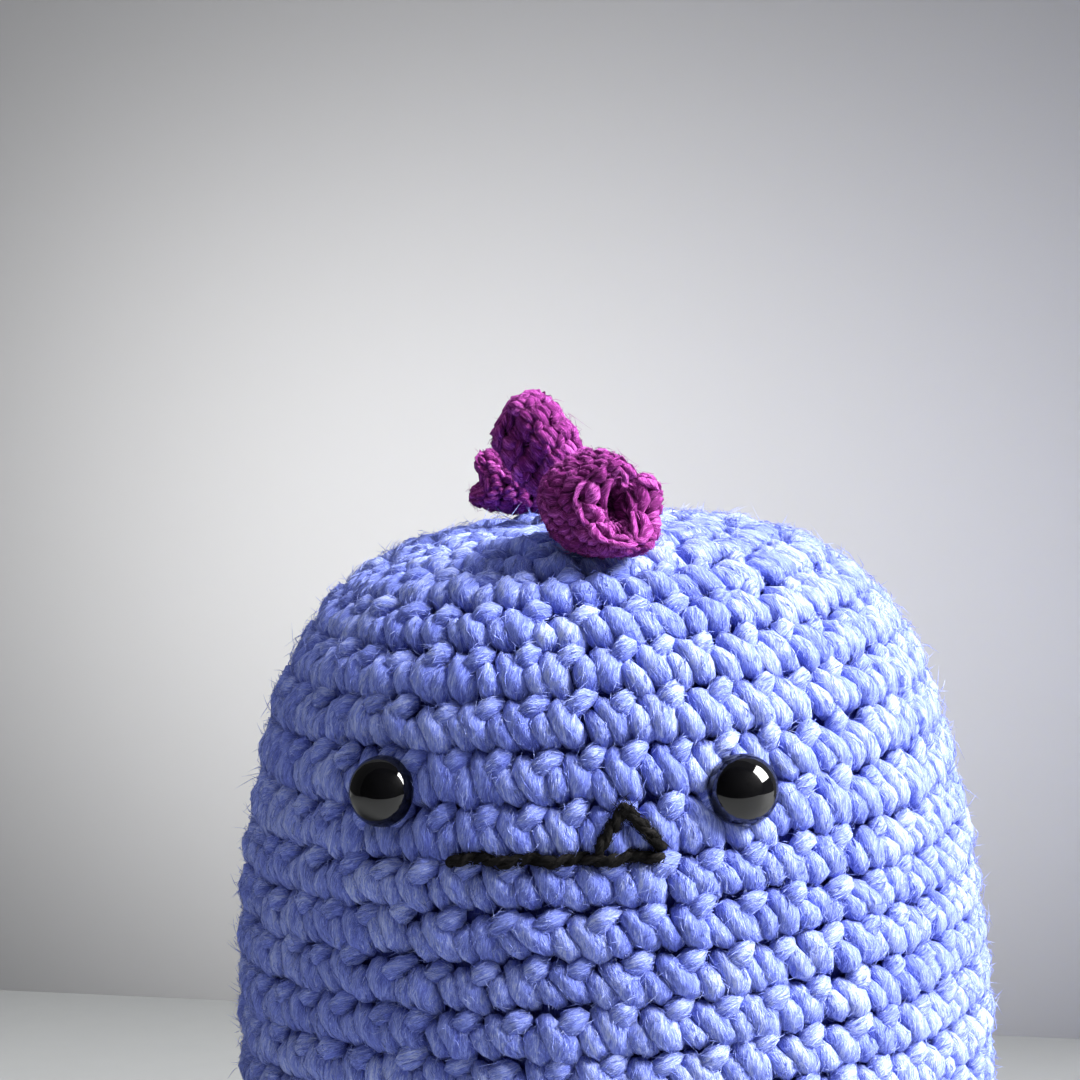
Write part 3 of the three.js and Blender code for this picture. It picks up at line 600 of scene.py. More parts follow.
class Body:
    """The body's outline and its surface.
    Above the widest place the radius is a dome, a power curve of the drop below the crown, plus a flare, a
    quarter sine of that drop. Below it the outline is a quarter of a superellipse, pressed flat on the
    table."""

    def __init__(self, sizes):
        step = np.linspace(0, 1, 1500)
        drop = step**3 * sizes.widest_below_crown
        left = 1 - np.minimum(drop / sizes.dome_depth, 1)
        dome = (1 - left**sizes.dome_shoulder) ** (1 / sizes.dome_top)
        flare = np.sin(drop / sizes.widest_below_crown * math.pi / 2)
        upper = sizes.dome_radius * dome + (sizes.body_radius - sizes.dome_radius) * flare
        rise = (1 - step) ** 3
        lower = sizes.body_radius * (1 - (1 - rise) ** sizes.bottom_roundness) ** (1 / sizes.bottom_roundness)
        depth = sizes.body_height - sizes.widest_below_crown + sizes.flattened
        pressed = np.maximum(depth * rise - sizes.flattened, 0)
        self.radii = np.concatenate([upper, lower[1:]])
        self.heights = np.concatenate([sizes.body_height - drop, pressed[1:]])
        moves = np.hypot(np.diff(self.radii), np.diff(self.heights))
        self.along = np.concatenate([[0], np.cumsum(moves)])
        self.eyes = [(sign * sizes.eye_angle, self.at_height(eye_height(sizes, sign))) for _, sign in SIDES]
        self.dent, self.dent_reach = sizes.eye_dent, sizes.eye_dent_reach
        self.surface = Surface(self.point, self.along[-1])

    def point(self, around, along):
        """The outline turned about the toy's axis, with slow swells of less than half a millimetre, as a hand
        stuffs it, less a smooth dent round each eye. The swells are sines that set in below the crown."""
        radius = np.interp(along, self.along, self.radii)
        height = np.interp(along, self.along, self.heights)
        swell = np.sin(3 * around + 90 * along) + np.sin(2 * around - 55 * along + 1.3)
        share, sets_in, steepness = 0.004, 0.04, 1.3
        radius = radius * (1 + share * swell * smooth(along / sets_in))
        for turn, drop in self.eyes:
            off = np.hypot(2 * radius * np.sin((around - turn) / 2), along - drop)
            radius = radius - self.dent * smooth(steepness * (1 - off / self.dent_reach))
        return np.stack(np.broadcast_arrays(radius * np.sin(around), -radius * np.cos(around), height), -1)

    def at_height(self, height):
        """The distance along the fabric at a height."""
        return np.interp(-height, -self.heights, self.along)

    def radius_at(self, height):
        """The outline's radius at a height."""
        return np.interp(self.at_height(height), self.along, self.radii)

    def gap(self, points):
        """How far points lie outside the body, level with them and square to its outline."""
        height = points[..., 2]
        above, below = self.at_height(height + MM), self.at_height(height - MM)
        slope = np.interp(above, self.along, self.heights) - np.interp(below, self.along, self.heights)
        flare = np.interp(below, self.along, self.radii) - np.interp(above, self.along, self.radii)
        spread = np.maximum(np.hypot(slope, flare), 1e-9)
        return (np.hypot(points[..., 0], points[..., 1]) - self.radius_at(height)) * slope / spread

    def rows(self, sizes):
        """Where each turn of the spiral starts: crown rounds down to the mouth, closer rounds below."""
        crown = np.arange(sizes.crown_rounds) * sizes.crown_round
        mouth = sizes.crown_rounds * sizes.crown_round
        left = self.surface.extent - mouth
        below = round(left / sizes.side_round)
        return np.concatenate([crown, mouth + np.arange(below + 1) / below * left])


def eye_height(sizes, sign):
    """The height of an eye's middle over the table."""
    return sizes.body_height - sizes.eye_below_crown - sign * sizes.eye_uneven


# Limbs


class Limb:
    """A limb round a middle line: at share t from its root, 0, to its tip, 1, an ellipse across the line. Its
    surface runs from the tip to the root, by the distance along its skin."""

    def __init__(self, line, half_width, half_height, across=None):
        self.line, self.half_width, self.half_height, self.across = line, half_width, half_height, across
        share = np.sin(np.linspace(1, 0, 400) * math.pi / 2)
        middle = line(share)
        radius = (half_width(share) + half_height(share)) / 2
        moves = np.hypot(np.linalg.norm(np.diff(middle, axis=0), axis=1), np.diff(radius))
        self.along = np.concatenate([[0], np.cumsum(moves)])
        self.share = share
        self.surface = Surface(self.point, self.along[-1])

    def point(self, around, along):
        """The ellipse across the middle line at a distance from the tip."""
        around, along = np.broadcast_arrays(around, along)
        t = np.interp(along, self.along, self.share)
        ahead = unit(self.line(t + 1e-3) - self.line(t - 1e-3))
        across = np.cross(UP, ahead) if self.across is None else self.across
        right = unit(np.broadcast_to(across, ahead.shape))
        up = np.cross(ahead, right)
        wide = (self.half_width(t) * np.cos(around))[..., None]
        high = (self.half_height(t) * np.sin(around))[..., None]
        return self.line(t) + wide * right + high * up

    def meets(self, body, around, gap, out=0.0):
        """The distance along the limb, for each angle round it, at which it is a gap away from the body."""
        low = np.zeros_like(around)
        high = np.full_like(around, self.surface.extent)
        halvings = 30
        for _ in range(halvings):
            middle = (low + high) / 2
            outside = body.gap(self.surface.at(around, middle, out)) > gap
            low = np.where(outside, middle, low)
            high = np.where(outside, high, middle)
        return low


def rounded_end(t, start):
    """Full size up to a start, then a quarter of an ellipse down to nothing."""
    past = np.clip((t - start) / (1 - start), 0, 1)
    return np.sqrt(np.maximum(1 - past**2, 0))


def foot_limb(sizes, body, sign):
    """A foot: from a root inside the body it swells towards the toes along a level line, and rounds off."""
    sunk, slimmest, rounds_from = 8 * MM, 0.86, 0.45
    turn = sign * sizes.foot_angle
    out = np.array([math.sin(turn), -math.cos(turn), 0])
    height = sizes.foot_half_height - sizes.flattened
    wall = body.radius_at(height)
    root = out * (wall - sunk) + [0, 0, height]
    toe = out * (wall + sizes.foot_reach) + [0, 0, height]

    def swell(t):
        return mix(slimmest, 1, smooth(2 * t)) * rounded_end(t, rounds_from)

    return Limb(lambda t: mix(root, toe, np.asarray(t)[..., None]),
                lambda t: sizes.foot_half_width * swell(t), lambda t: sizes.foot_half_height * swell(t))


def tail_limb(sizes, body):
    """The tail: from a root inside the body it tapers along a drooping line, a parabola, to a blunt tip."""
    sunk, droop, taper = 11 * MM, 4 * MM, 1.2
    wall = body.radius_at(sizes.tail_height)
    root = np.array([0, wall - sunk, sizes.tail_height])
    bend = np.array([0, wall + sizes.tail_reach / 2, sizes.tail_height - droop])
    tip = np.array([0, wall + sizes.tail_reach, sizes.tail_tip_height])
    start = 1 - sizes.tail_tip_radius / np.linalg.norm(tip - root)

    def line(t):
        t = np.asarray(t)[..., None]
        return (1 - t) ** 2 * root + 2 * t * (1 - t) * bend + t**2 * tip

    def radius(t):
        share = np.clip(t, 0, 1) ** taper
        return mix(sizes.tail_radius, sizes.tail_tip_radius, share) * rounded_end(t, start)

    return Limb(line, radius, radius)


def arm_limb(sizes, body, side, sign):
    """An arm: its top edge is pinched flat at the seam and it swells to a round hand."""
    pinch, full_by = 1.4 * MM, 0.6
    turn = sign * sizes.arm_angle
    along = body.at_height(sizes.shoulder_height)
    hinge = np.array(HINGES[f"{side}_arm"])
    out = unit(body.surface.normal(np.array(turn), np.array(along)) * (1, 1, 0))
    across = np.cross(out, UP)
    down = out * math.sin(sizes.arm_tilt) - np.array([0, 0, math.cos(sizes.arm_tilt)])
    top = hinge + down * sizes.sewing
    hand = hinge + down * sizes.arm_length
    start = 1 - sizes.arm_half_width / sizes.arm_length

    def swell(t, pinched, full):
        return mix(pinched, full, smooth(np.asarray(t) / full_by)) * rounded_end(t, start)

    limb = Limb(lambda t: mix(top, hand, np.asarray(t)[..., None]),
                lambda t: swell(t, sizes.arm_seam, sizes.arm_half_width),
                lambda t: swell(t, pinch, sizes.arm_half_thickness), across)
    return limb, hinge, across


def limb_rows(surface, height):
    """Even rounds along a limb."""
    return np.linspace(0, surface.extent, max(round(surface.extent / height), 2) + 1)


# Materials


def add_node(tree, kind, inputs=(), **settings):
    """Adds a node with its settings. Each input is a socket's name or number, with a value or a socket to
    link."""
    node = tree.nodes.new(kind)
    for key, value in settings.items():
        setattr(node, key, value)
    for key, value in inputs:
        if isinstance(value, bpy.types.NodeSocket):
            tree.links.new(value, node.inputs[key])
        else:
            node.inputs[key].default_value = value
    return node


def new_material(name):
    """An empty material with its output node."""
    material = bpy.data.materials.new(name)
    material.use_nodes = True
    tree = material.node_tree
    tree.nodes.clear()
    return material, tree, tree.nodes.new("ShaderNodeOutputMaterial")


def yarn_material(name, colour_and_shade, plies=3, fibre=1.0, relief=0.32, sheen=0.4):
    """Spun yarn in three colours: its own, a pale one for lit fibres, which is painted highlight, and a shade
    one, which is painted shade. Pale and dark fibres run along the strand, plies wind round it, and painted
    shade darkens the yarn deep between the stitches. The pattern lies in the yarn's own coordinates, in
    millimetres, and fibre makes it finer."""
    colours = bpy.context.scene.toy_colours
    base, light, shade = (getattr(colours, colour_and_shade + kind) for kind in ("", "_light", "_shade"))
    material, tree, output = new_material(name)
    strand = add_node(tree, "ShaderNodeAttribute", attribute_name="strand")
    tint = add_node(tree, "ShaderNodeAttribute", attribute_name="tint")
    depth = add_node(tree, "ShaderNodeAttribute", attribute_name="depth")
    # How much of the pattern is single fibres, how stitches shift it at random, how plies shift it as painted
    # highlight and shade, paler on their crests and darker in the grooves between them, and how high plies
    # stand
    fine_share, stitch_range, stitch_shift, ply_painted_shade, ply_height = 0.55, 0.1, -0.08, 0.07, 0.3
    # Where on the pattern dark fibres, the yarn's own colour and pale fibres show
    dark_at, own_at, pale_at = 0.38, 0.52, 0.66
    # Noise drawn out along the strand, with so many patches to a millimetre across it and along it. Real
    # fibres, some 0.02 mm wide, are too fine to show, so they are drawn about 0.12 mm wide, among bundles of
    # 0.4 mm.
    bundle_rates, fibre_rates = (2.6, 0.7), (9.0, 2.2)
    drawn = [add_node(tree, "ShaderNodeMapping", [("Vector", strand.outputs["Vector"]),
                                                  ("Scale", (across * fibre, across * fibre, along))])
             for across, along in (bundle_rates, fibre_rates)]
    bundles, fibres = [
        add_node(tree, "ShaderNodeTexNoise", [("Vector", way.outputs[0]), ("Scale", 1.0), ("Detail", 2.0),
                                              ("Roughness", 0.6), ("Distortion", 1.1)]) for way in drawn]
    spun = add_node(tree, "ShaderNodeMix", [(0, fine_share), (2, bundles.outputs[0]), (3, fibres.outputs[0])])
    # Plies: ridges at even angles round the strand.
    parts = add_node(tree, "ShaderNodeSeparateXYZ", [(0, strand.outputs["Vector"])])
    turn = add_node(tree, "ShaderNodeMath", [(0, parts.outputs["Y"]), (1, parts.outputs["X"])],
                    operation="ARCTAN2")
    wound = add_node(tree, "ShaderNodeMath", [(0, turn.outputs[0]), (1, plies / 2)], operation="MULTIPLY")
    wave = add_node(tree, "ShaderNodeMath", [(0, wound.outputs[0])], operation="SINE")
    ridge = add_node(tree, "ShaderNodeMath", [(0, wave.outputs[0])], operation="ABSOLUTE")
    # Colour: dark fibres, partly the painted shade colour, then the yarn's own, then pale ones, painted
    # highlights of lit fibres, at random along the strand, with each stitch a tone of its own.
    stitched = add_node(tree, "ShaderNodeMath", [
        (0, tint.outputs["Fac"]), (1, stitch_range), (2, stitch_shift)], operation="MULTIPLY_ADD")
    ply_shaded = add_node(tree, "ShaderNodeMath", [(0, ridge.outputs[0]), (1, ply_painted_shade), (2, spun.outputs[0])],
                    operation="MULTIPLY_ADD")
    level = add_node(tree, "ShaderNodeMath", [(0, ply_shaded.outputs[0]), (1, stitched.outputs[0])],
                     operation="ADD")
    ramp = add_node(tree, "ShaderNodeValToRGB", [(0, level.outputs[0])])
    ramp.color_ramp.elements[0].position = dark_at
    ramp.color_ramp.elements[0].color = [mix(a, b, 0.4) for a, b in zip(shade, base)]
    ramp.color_ramp.elements[1].position = pale_at
    ramp.color_ramp.elements[1].color = light
    ramp.color_ramp.elements.new(own_at).color = base
    # Painted shade: the depth attribute mixes in the shade colour where the yarn lies deep
    dark = add_node(tree, "ShaderNodeMix", [(0, depth.outputs["Fac"]), (6, shade), (7, ramp.outputs[0])],
                    data_type="RGBA")
    # Relief: the plies and their fibres.
    high = add_node(tree, "ShaderNodeMath", [(0, ridge.outputs[0]), (1, ply_height), (2, spun.outputs[0])],
                    operation="MULTIPLY_ADD")
    bump = add_node(tree, "ShaderNodeBump", [
        ("Height", high.outputs[0]), ("Distance", relief * MM), ("Strength", 1.0)])
    shader = add_node(tree, "ShaderNodeBsdfPrincipled", [
        ("Base Color", dark.outputs[2]), ("Roughness", 0.85), ("Specular IOR Level", 0.15),
        ("Sheen Weight", sheen), ("Sheen Roughness", 0.5), ("Sheen Tint", light),
        ("Normal", bump.outputs[0])])
    tree.links.new(shader.outputs[0], output.inputs["Surface"])
    return material


def plain_material(name, base, roughness, grain, amount, relief, coat=0.0):
    """A plain surface with a fine grain: noise of the given size in millimetres changes its shade, its
    roughness and, a little, its height."""
    material, tree, output = new_material(name)
    where = add_node(tree, "ShaderNodeTexCoord")
    noise = add_node(tree, "ShaderNodeTexNoise", [
        ("Vector", where.outputs["Object"]), ("Scale", 1 / (grain * MM)), ("Detail", 4.0),
        ("Roughness", 0.6)])
    low = [x * (1 - amount) for x in base[:3]] + [1]
    high = [min(x * (1 + amount), 1) for x in base[:3]] + [1]
    shade = add_node(tree, "ShaderNodeMix", [(0, noise.outputs[0]), (6, low), (7, high)], data_type="RGBA")
    rough = add_node(tree, "ShaderNodeMath", [(0, noise.outputs[0]), (1, roughness), (2, roughness * 0.5)],
                     operation="MULTIPLY_ADD")
    bump = add_node(tree, "ShaderNodeBump", [
        ("Height", noise.outputs[0]), ("Distance", relief * MM), ("Strength", 1.0)])
    shader = add_node(tree, "ShaderNodeBsdfPrincipled", [
        ("Base Color", shade.outputs[2]), ("Roughness", rough.outputs[0]), ("Coat Weight", coat),
        ("Coat Roughness", 0.03), ("Normal", bump.outputs[0])])
    tree.links.new(shader.outputs[0], output.inputs["Surface"])
    return material, tree, shader, output


BODY_YARN = "Worsted acrylic yarn"
SPIKE_YARN = "Fine acrylic yarn"
BLACK_YARN = "Black embroidery yarn"
EYE_PLASTIC = "Polished black plastic"
WASHER_PLASTIC = "Moulded white plastic"
FIBRE_FILL = "Polyester fibre fill"


def finish(key):
    """The material of that name, made once."""
    found = bpy.data.materials.get(key)
    if found is not None:
        return found
    colours = bpy.context.scene.toy_colours
    # Spun from soft fibres in three plies: matt, streaked along the strand with painted highlight and shade,
    # with a pale bloom at its edges
    if key == BODY_YARN:
        return yarn_material(key, "body")
    # The same spinning in a thinner yarn: finer streaks and lower plies
    if key == SPIKE_YARN:
        return yarn_material(key, "spike", fibre=1.5, relief=0.2)
    # Spun tight for sewing: an even near black with hardly any bloom
    if key == BLACK_YARN:
        return yarn_material(key, "black", fibre=1.6, relief=0.15, sheen=0.05)
    # Moulded and polished: a deep black dome with sharp reflections
    if key == EYE_PLASTIC:
        return plain_material(key, colours.eye, roughness=0.05, grain=0.6, amount=0.3, relief=0.0004,
                              coat=0.05)[0]
    # Moulded and left as it came: off-white with a satin surface
    if key == WASHER_PLASTIC:
        return plain_material(key, colours.washer, roughness=0.5, grain=0.8, amount=0.04, relief=0.01)[0]
    # Loose crimped fibres: white and dull, with soft tufts
    return plain_material(key, colours.fill, roughness=0.95, grain=1.5, amount=0.08, relief=0.6)[0]


# Operators


class TOY_OT_body(bpy.types.Operator):
    """Crochets the body's cover and stuffs it"""

    bl_idname = "toy.body"
    bl_label = "Body"

    def execute(self, context):
        sizes = context.scene.toy_sizes
        body = Body(sizes)
        surface = body.surface
        stitches = Crochet(surface, body.rows(sizes), sizes.stitch_width, sizes.yarn, seed=11,
                           most=sizes.most_stitches)
        cover = Shape()
        stitches.lay(cover)
        # Under the lobes a dark skin, mostly the shade colour, is painted shade between the stitches; the
        # lining inside is wholly that colour
        under_lobes, lining = -1.9 * sizes.yarn, -0.95 * sizes.fabric
        skin(cover, surface, under_lobes, rows=44, columns=48, depth=0.22)
        skin(cover, surface, lining, rows=24, columns=28, inside=True)
        piece = cover.piece("body_cover_crochet", "body", "body_yarn", finish(BODY_YARN), ["body_cover"])
        eyes = np.array([eye_place(sizes, body, sign).translation for _, sign in SIDES])
        room = 0.56 * sizes.eye_diameter

        def clear(lines):
            """Which fibres keep off the eyes."""
            return (np.linalg.norm(lines[:, :, None] - eyes, axis=-1) > room).all((1, 2))

        parts = 4
        for part in range(parts):
            hairs = Shape()
            own = np.arange(part, stitches.count, parts)
            fuzzy(stitches, hairs, own, sizes, seed=12 + part, keep=clear)
            hairs.piece(f"body_fuzz_{part + 1}", "body", "body_yarn", finish(BODY_YARN))
        fill = Shape()
        lumps, inset = 0.5 * MM, -sizes.fabric - 1.2 * MM
        skin(fill, lumpy(surface, lumps), inset, rows=60, columns=64, depth=1.0)
        stuffing = fill.piece("body_fill", "body", "fibre_fill", finish(FIBRE_FILL), ["body_stuffing"])
        return {"FINISHED"}


def fuzzy(stitches, shape, own, sizes, seed, keep=None):
    """Wisps, which lie along the yarn, and loose fibres, which stand off it, on some of the stitches."""
    rng = np.random.default_rng(seed)
    wisps, loose = (rng.permutation(own.repeat(each)) for each in (sizes.wisp_each, sizes.fuzz_each))
    stitches.fibres(shape, wisps, sizes.wisp, sizes.wisp_radius, lift=0.08, wander=LYING, seed=seed + 200,
                    keep=keep)
    stitches.fibres(shape, loose, sizes.fuzz, sizes.fibre, lift=0.55, wander=ASTRAY, seed=seed + 300,
                    keep=keep)


def lumpy(surface, size):
    """A surface with soft lumps: sines round and along it."""

    def point(around, along):
        lump = np.sin(7 * around + 400 * along) * np.sin(5 * around - 300 * along) * size
        return surface.at(around, along, lump)

    return Surface(point, surface.extent)


def eye_place(sizes, body, sign):
    """The matrix that puts Z square to the body at an eye."""
    height = eye_height(sizes, sign)
    around = np.array(sign * sizes.eye_angle)
    radius = body.radius_at(height)
    out = Vector(body.surface.normal(around, np.array(body.at_height(height))))
    turn = out.to_track_quat("Z", "Y").to_matrix().to_4x4()
    return Matrix.Translation((radius * math.sin(around), -radius * math.cos(around), height)) @ turn


class TOY_OT_eyes(bpy.types.Operator):
    """Turns the safety eyes and the washers that lock them"""

    bl_idname = "toy.eyes"
    bl_label = "Eyes"

    def execute(self, context):
        sizes = context.scene.toy_sizes
        body = Body(sizes)
        radius, back, rim = sizes.eye_diameter / 2, -sizes.eye_seat, sizes.eye_rim
        swing = np.linspace(0, math.pi / 2, 28)
        dome = np.stack([radius * np.cos(swing), back + rim + sizes.eye_dome * np.sin(swing)], -1)
        bevel = 0.15 * MM
        edge = [[radius - bevel, back], [radius, back + bevel]]
        shank_end, shank_radius = back - 11 * MM, 1.4 * MM
        ribs, rib_pitch, rib_radius = 5, 1.8 * MM, 1.7 * MM
        shank = [[0, shank_end], [1.2 * MM, shank_end]]
        for rib in range(ribs):
            low = shank_end + rib * rib_pitch
            shank += [[shank_radius, low + 0.1 * MM], [rib_radius, low + 1.45 * MM],
                      [1.42 * MM, low + 1.6 * MM]]
        profile = np.concatenate([shank, [[shank_radius, back]], edge, dome])
        for side, sign in SIDES:
            place = eye_place(sizes, body, sign)
            eye = Shape()
            lathe(eye, profile, place, segments=64)
            eye.piece(f"{side}_eye_dome", "body", "eye_plastic", finish(EYE_PLASTIC), [f"{side}_eye"])
            low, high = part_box(f"{side}_eye_washer")
            middle = (Vector(low) + Vector(high)) / 2
            half_thick, bore, collar, disc = 0.8 * MM, 2 * MM, 3.5 * MM, 6 * MM
            front = (place.inverted() @ middle).z + half_thick
            back_of_collar = front - 2 * half_thick
            ring = [[bore, back_of_collar], [collar, back_of_collar], [collar, front - 0.9 * MM],
                    [disc - 0.2 * MM, front - 0.8 * MM], [disc, front - 0.6 * MM], [disc - 0.1 * MM, front],
                    [bore, front]]
            washer = Shape()
            lathe(washer, ring, place, segments=48)
            washer.piece(f"{side}_washer_disc", "body", "washer_plastic", finish(WASHER_PLASTIC),
                         [f"{side}_eye_washer"])
        return {"FINISHED"}


def over_face(body, stations, count):
    """A smooth line over the face through stations of angle, height and distance out, with the directions
    out."""
    line = resample(stations, count)
    along = body.at_height(line[:, 1])
    return body.surface.at(line[:, 0], along, line[:, 2]), body.surface.normal(line[:, 0], along)


class TOY_OT_mouth(bpy.types.Operator):
    """Sews the mouth and its tooth in black yarn"""

    bl_idname = "toy.mouth"
    bl_label = "Mouth"

    def execute(self, context):
        sizes = context.scene.toy_sizes
        body = Body(sizes)
        height = sizes.body_height - sizes.mouth_below_crown
        lie, sunk, rise = 0.2 * MM, -2.6 * MM, 0.25 * MM
        steps = 4 * sizes.mouth_stitches
        share = np.arange(steps + 1) / steps
        wave = np.cos(share * sizes.mouth_stitches * TURN)
        mouth = [sizes.mouth_angle * (2 * share - 1), height - rise * wave, lie - rise * (1 - wave)]
        mouth = np.stack(mouth, -1)
        dive = [math.radians(1.4), 0, sunk]
        mouth = np.concatenate([mouth[:1] + dive * np.array([-1, 1, 1]), mouth, mouth[-1:] + dive])
        foot = height + 1.1 * MM
        peak = [sizes.tooth_peak, height + sizes.tooth_height, lie]
        feet = [[sizes.tooth_left, foot, lie], [sizes.mouth_angle, foot, lie]]
        legs = [[mix(np.array(end), np.array(peak), x) for x in (0, 0.3, 0.6, 0.88)] for end in feet]
        ends = [np.array(end) + [0, 0, sunk] for end in feet]
        tooth = np.array([ends[0], *legs[0], peak, *legs[1][::-1], ends[1]])
        for name, stations in (("mouth", mouth), ("tooth", tooth)):
            line, out = over_face(body, stations, count=160)
            thread = Shape()
            plied_yarn(thread, line, out, sizes.thread, plies=2, pitch=5.0, seed=len(stations))
            hairs_on_line(thread, line, out, count=420, sizes=sizes, seed=len(stations) + 1)
            thread.piece(f"{name}_yarn", "body", "black_yarn", finish(BLACK_YARN), [f"{name}_thread"])
        return {"FINISHED"}


def hairs_on_line(shape, line, out, count, sizes, seed):
    """Stray fibres of a yarn: they start inside it, lean along it and bend, as parabolas, in thin closed
    spindles."""
    rng = np.random.default_rng(seed)
    # The line's points left bare at each end, how far below its sides fibres start, in radians, how far from
    # its middle, in its radii, and how much they usually lean
    ends, below, inside, usual_lean = 8, 0.3, 0.7, 0.9
    at = rng.integers(ends, len(line) - ends, count)
    ahead = unit(np.gradient(line, axis=0))[at]
    up = out[at]
    swing = rng.uniform(-below, math.pi + below, (count, 1))
    away = np.cos(swing) * np.cross(ahead, up) + np.sin(swing) * up
    lean = ahead * rng.normal(0, usual_lean, (count, 1))
    size = sizes.thread * rng.uniform(0.5, 1.5, (count, 1, 1))
    step = np.array([0, 0.35, 0.7, 1])[:, None]
    root = line[at] + away * sizes.thread * inside
    bend = lean * 0.6 - away * 0.5
    path = root[:, None] + size * (step * (away + lean)[:, None] + step**2 * bend[:, None])
    points, strands, faces = closed_tube(path, sizes.fibre * np.array([1, 0.75]), 3,
                                         unit(rng.normal(size=(count, 1, 3))))
    each = points.shape[1]
    shape.add(points, copies(faces, count, each), strands, rng.random(count).repeat(each))


def sewn_limb(name, limb, body, sizes, seed, seam):
    """A stuffed limb with its fill, sewn to the body between two angles round it."""
    surface = limb.surface
    columns, tucked = 48, 1.2 * MM
    around = circle(columns)
    rows = limb_rows(surface, sizes.side_round)
    stitches = Crochet(surface, rows, sizes.stitch_width, sizes.yarn, seed,
                       keep=lambda points: body.gap(points) > -tucked)
    cover = Shape()
    stitches.lay(cover)
    under_lobes = -1.75 * sizes.yarn
    sewn = limb.meets(body, around, gap=-2.5 * MM, out=under_lobes)
    # A skin under the lobes, wholly the shade colour: painted shade between the stitches
    skin(cover, surface, under_lobes, rows=40, columns=columns, last=sewn)
    piece = cover.piece(f"{name}_cover_crochet", "body", "body_yarn", finish(BODY_YARN), [f"{name}_cover"])
    fill = Shape()
    inset = -sizes.fabric - 0.8 * MM
    sewn = limb.meets(body, around, gap=0.4 * MM, out=inset)
    skin(fill, surface, inset, rows=24, columns=columns, first=2 * sizes.fabric, last=sewn, depth=1.0)
    stuffing = fill.piece(f"{name}_fill", "body", "fibre_fill", finish(FIBRE_FILL), [f"{name}_stuffing"])
    hairs = Shape()
    fuzzy(stitches, hairs, np.arange(stitches.count), sizes, seed + 1,
          keep=lambda lines: body.gap(lines[:, 0]) > 0)
    hairs.piece(f"{name}_fuzz", "body", "body_yarn", finish(BODY_YARN))
    whip = Shape()
    whip_stitches(whip, limb, body, sizes, np.radians(seam), seed + 2)
    whip.piece(f"{name}_whip_stitches", "body", "body_yarn", finish(BODY_YARN), [f"{name}_seam"])


def whip_stitches(shape, limb, body, sizes, seam, seed):
    """Whip stitches over the corner between a limb and the body: each is a short arch, a parabola, from the
    limb, over the corner, to the body a little further round."""
    rng = np.random.default_rng(seed)
    around = np.linspace(*seam, 200)
    spacing, lean = 0.8 * sizes.stitch_width, 0.35 * sizes.stitch_width
    # How far up the limb and under its skin an arch starts, how far up and out its top lies, and how far out
    # from the limb and deep in the body it ends
    start_up, start_deep = 3.4 * MM, 0.6 * MM
    top_up, top_out = 0.6 * MM, 1.0 * MM
    end_out, end_deep = 3.2 * MM, 0.9 * MM
    off_body = 0.8 * MM
    corner = limb.surface.at(around, limb.meets(body, around, off_body), 0)
    run = distances(corner)
    count = max(int(run[-1] / spacing), 4)
    at = np.interp((np.arange(count) + 0.5) / count * run[-1], run, around)
    slant = lean / (run[-1] / (seam[1] - seam[0]))
    met = limb.meets(body, at, off_body)
    on_limb = limb.surface.at(at, met - start_up, -start_deep)
    top = limb.surface.at(at + slant, met - top_up, top_out)
    far = limb.surface.at(at + 2 * slant, met, end_out)
    level = unit(far * (1, 1, 0))
    on_body = far - level * (body.gap(far) + end_deep)[:, None]
    middle = (on_limb + on_body) / 2
    share = np.linspace(0, 1, 9)[:, None]
    path = ((1 - share) ** 2 * on_limb[:, None] + 2 * share * (1 - share) * (2 * top - middle)[:, None]
            + share**2 * on_body[:, None])
    thick = sizes.sewing * np.array([0.7, 0.95, 1.05, 1.1, 1.05, 0.95, 0.7])
    points, strands, faces = closed_tube(path, thick, 8, unit(top - middle)[:, None],
                                         twist=TURN / (TWIST * sizes.sewing))
    apart, each = 31.0, points.shape[1]
    offset = apart * np.arange(count)[:, None, None] * UP
    shape.add(points, copies(faces, count, each), strands + offset, rng.random(count).repeat(each), depth=0.9)


class TOY_OT_feet(bpy.types.Operator):
    """Crochets, stuffs and sews on the feet"""

    bl_idname = "toy.feet"
    bl_label = "Feet"

    def execute(self, context):
        sizes = context.scene.toy_sizes
        body = Body(sizes)
        for side, sign in SIDES:
            foot = foot_limb(sizes, body, sign)
            sewn_limb(f"{side}_foot", foot, body, sizes, seed=30 + sign, seam=(5, 175))
        return {"FINISHED"}


class TOY_OT_tail(bpy.types.Operator):
    """Crochets, stuffs and sews on the tail"""

    bl_idname = "toy.tail"
    bl_label = "Tail"

    def execute(self, context):
        sizes = context.scene.toy_sizes
        body = Body(sizes)
        sewn_limb("tail", tail_limb(sizes, body), body, sizes, seed=40, seam=(-88, 268))
        return {"FINISHED"}


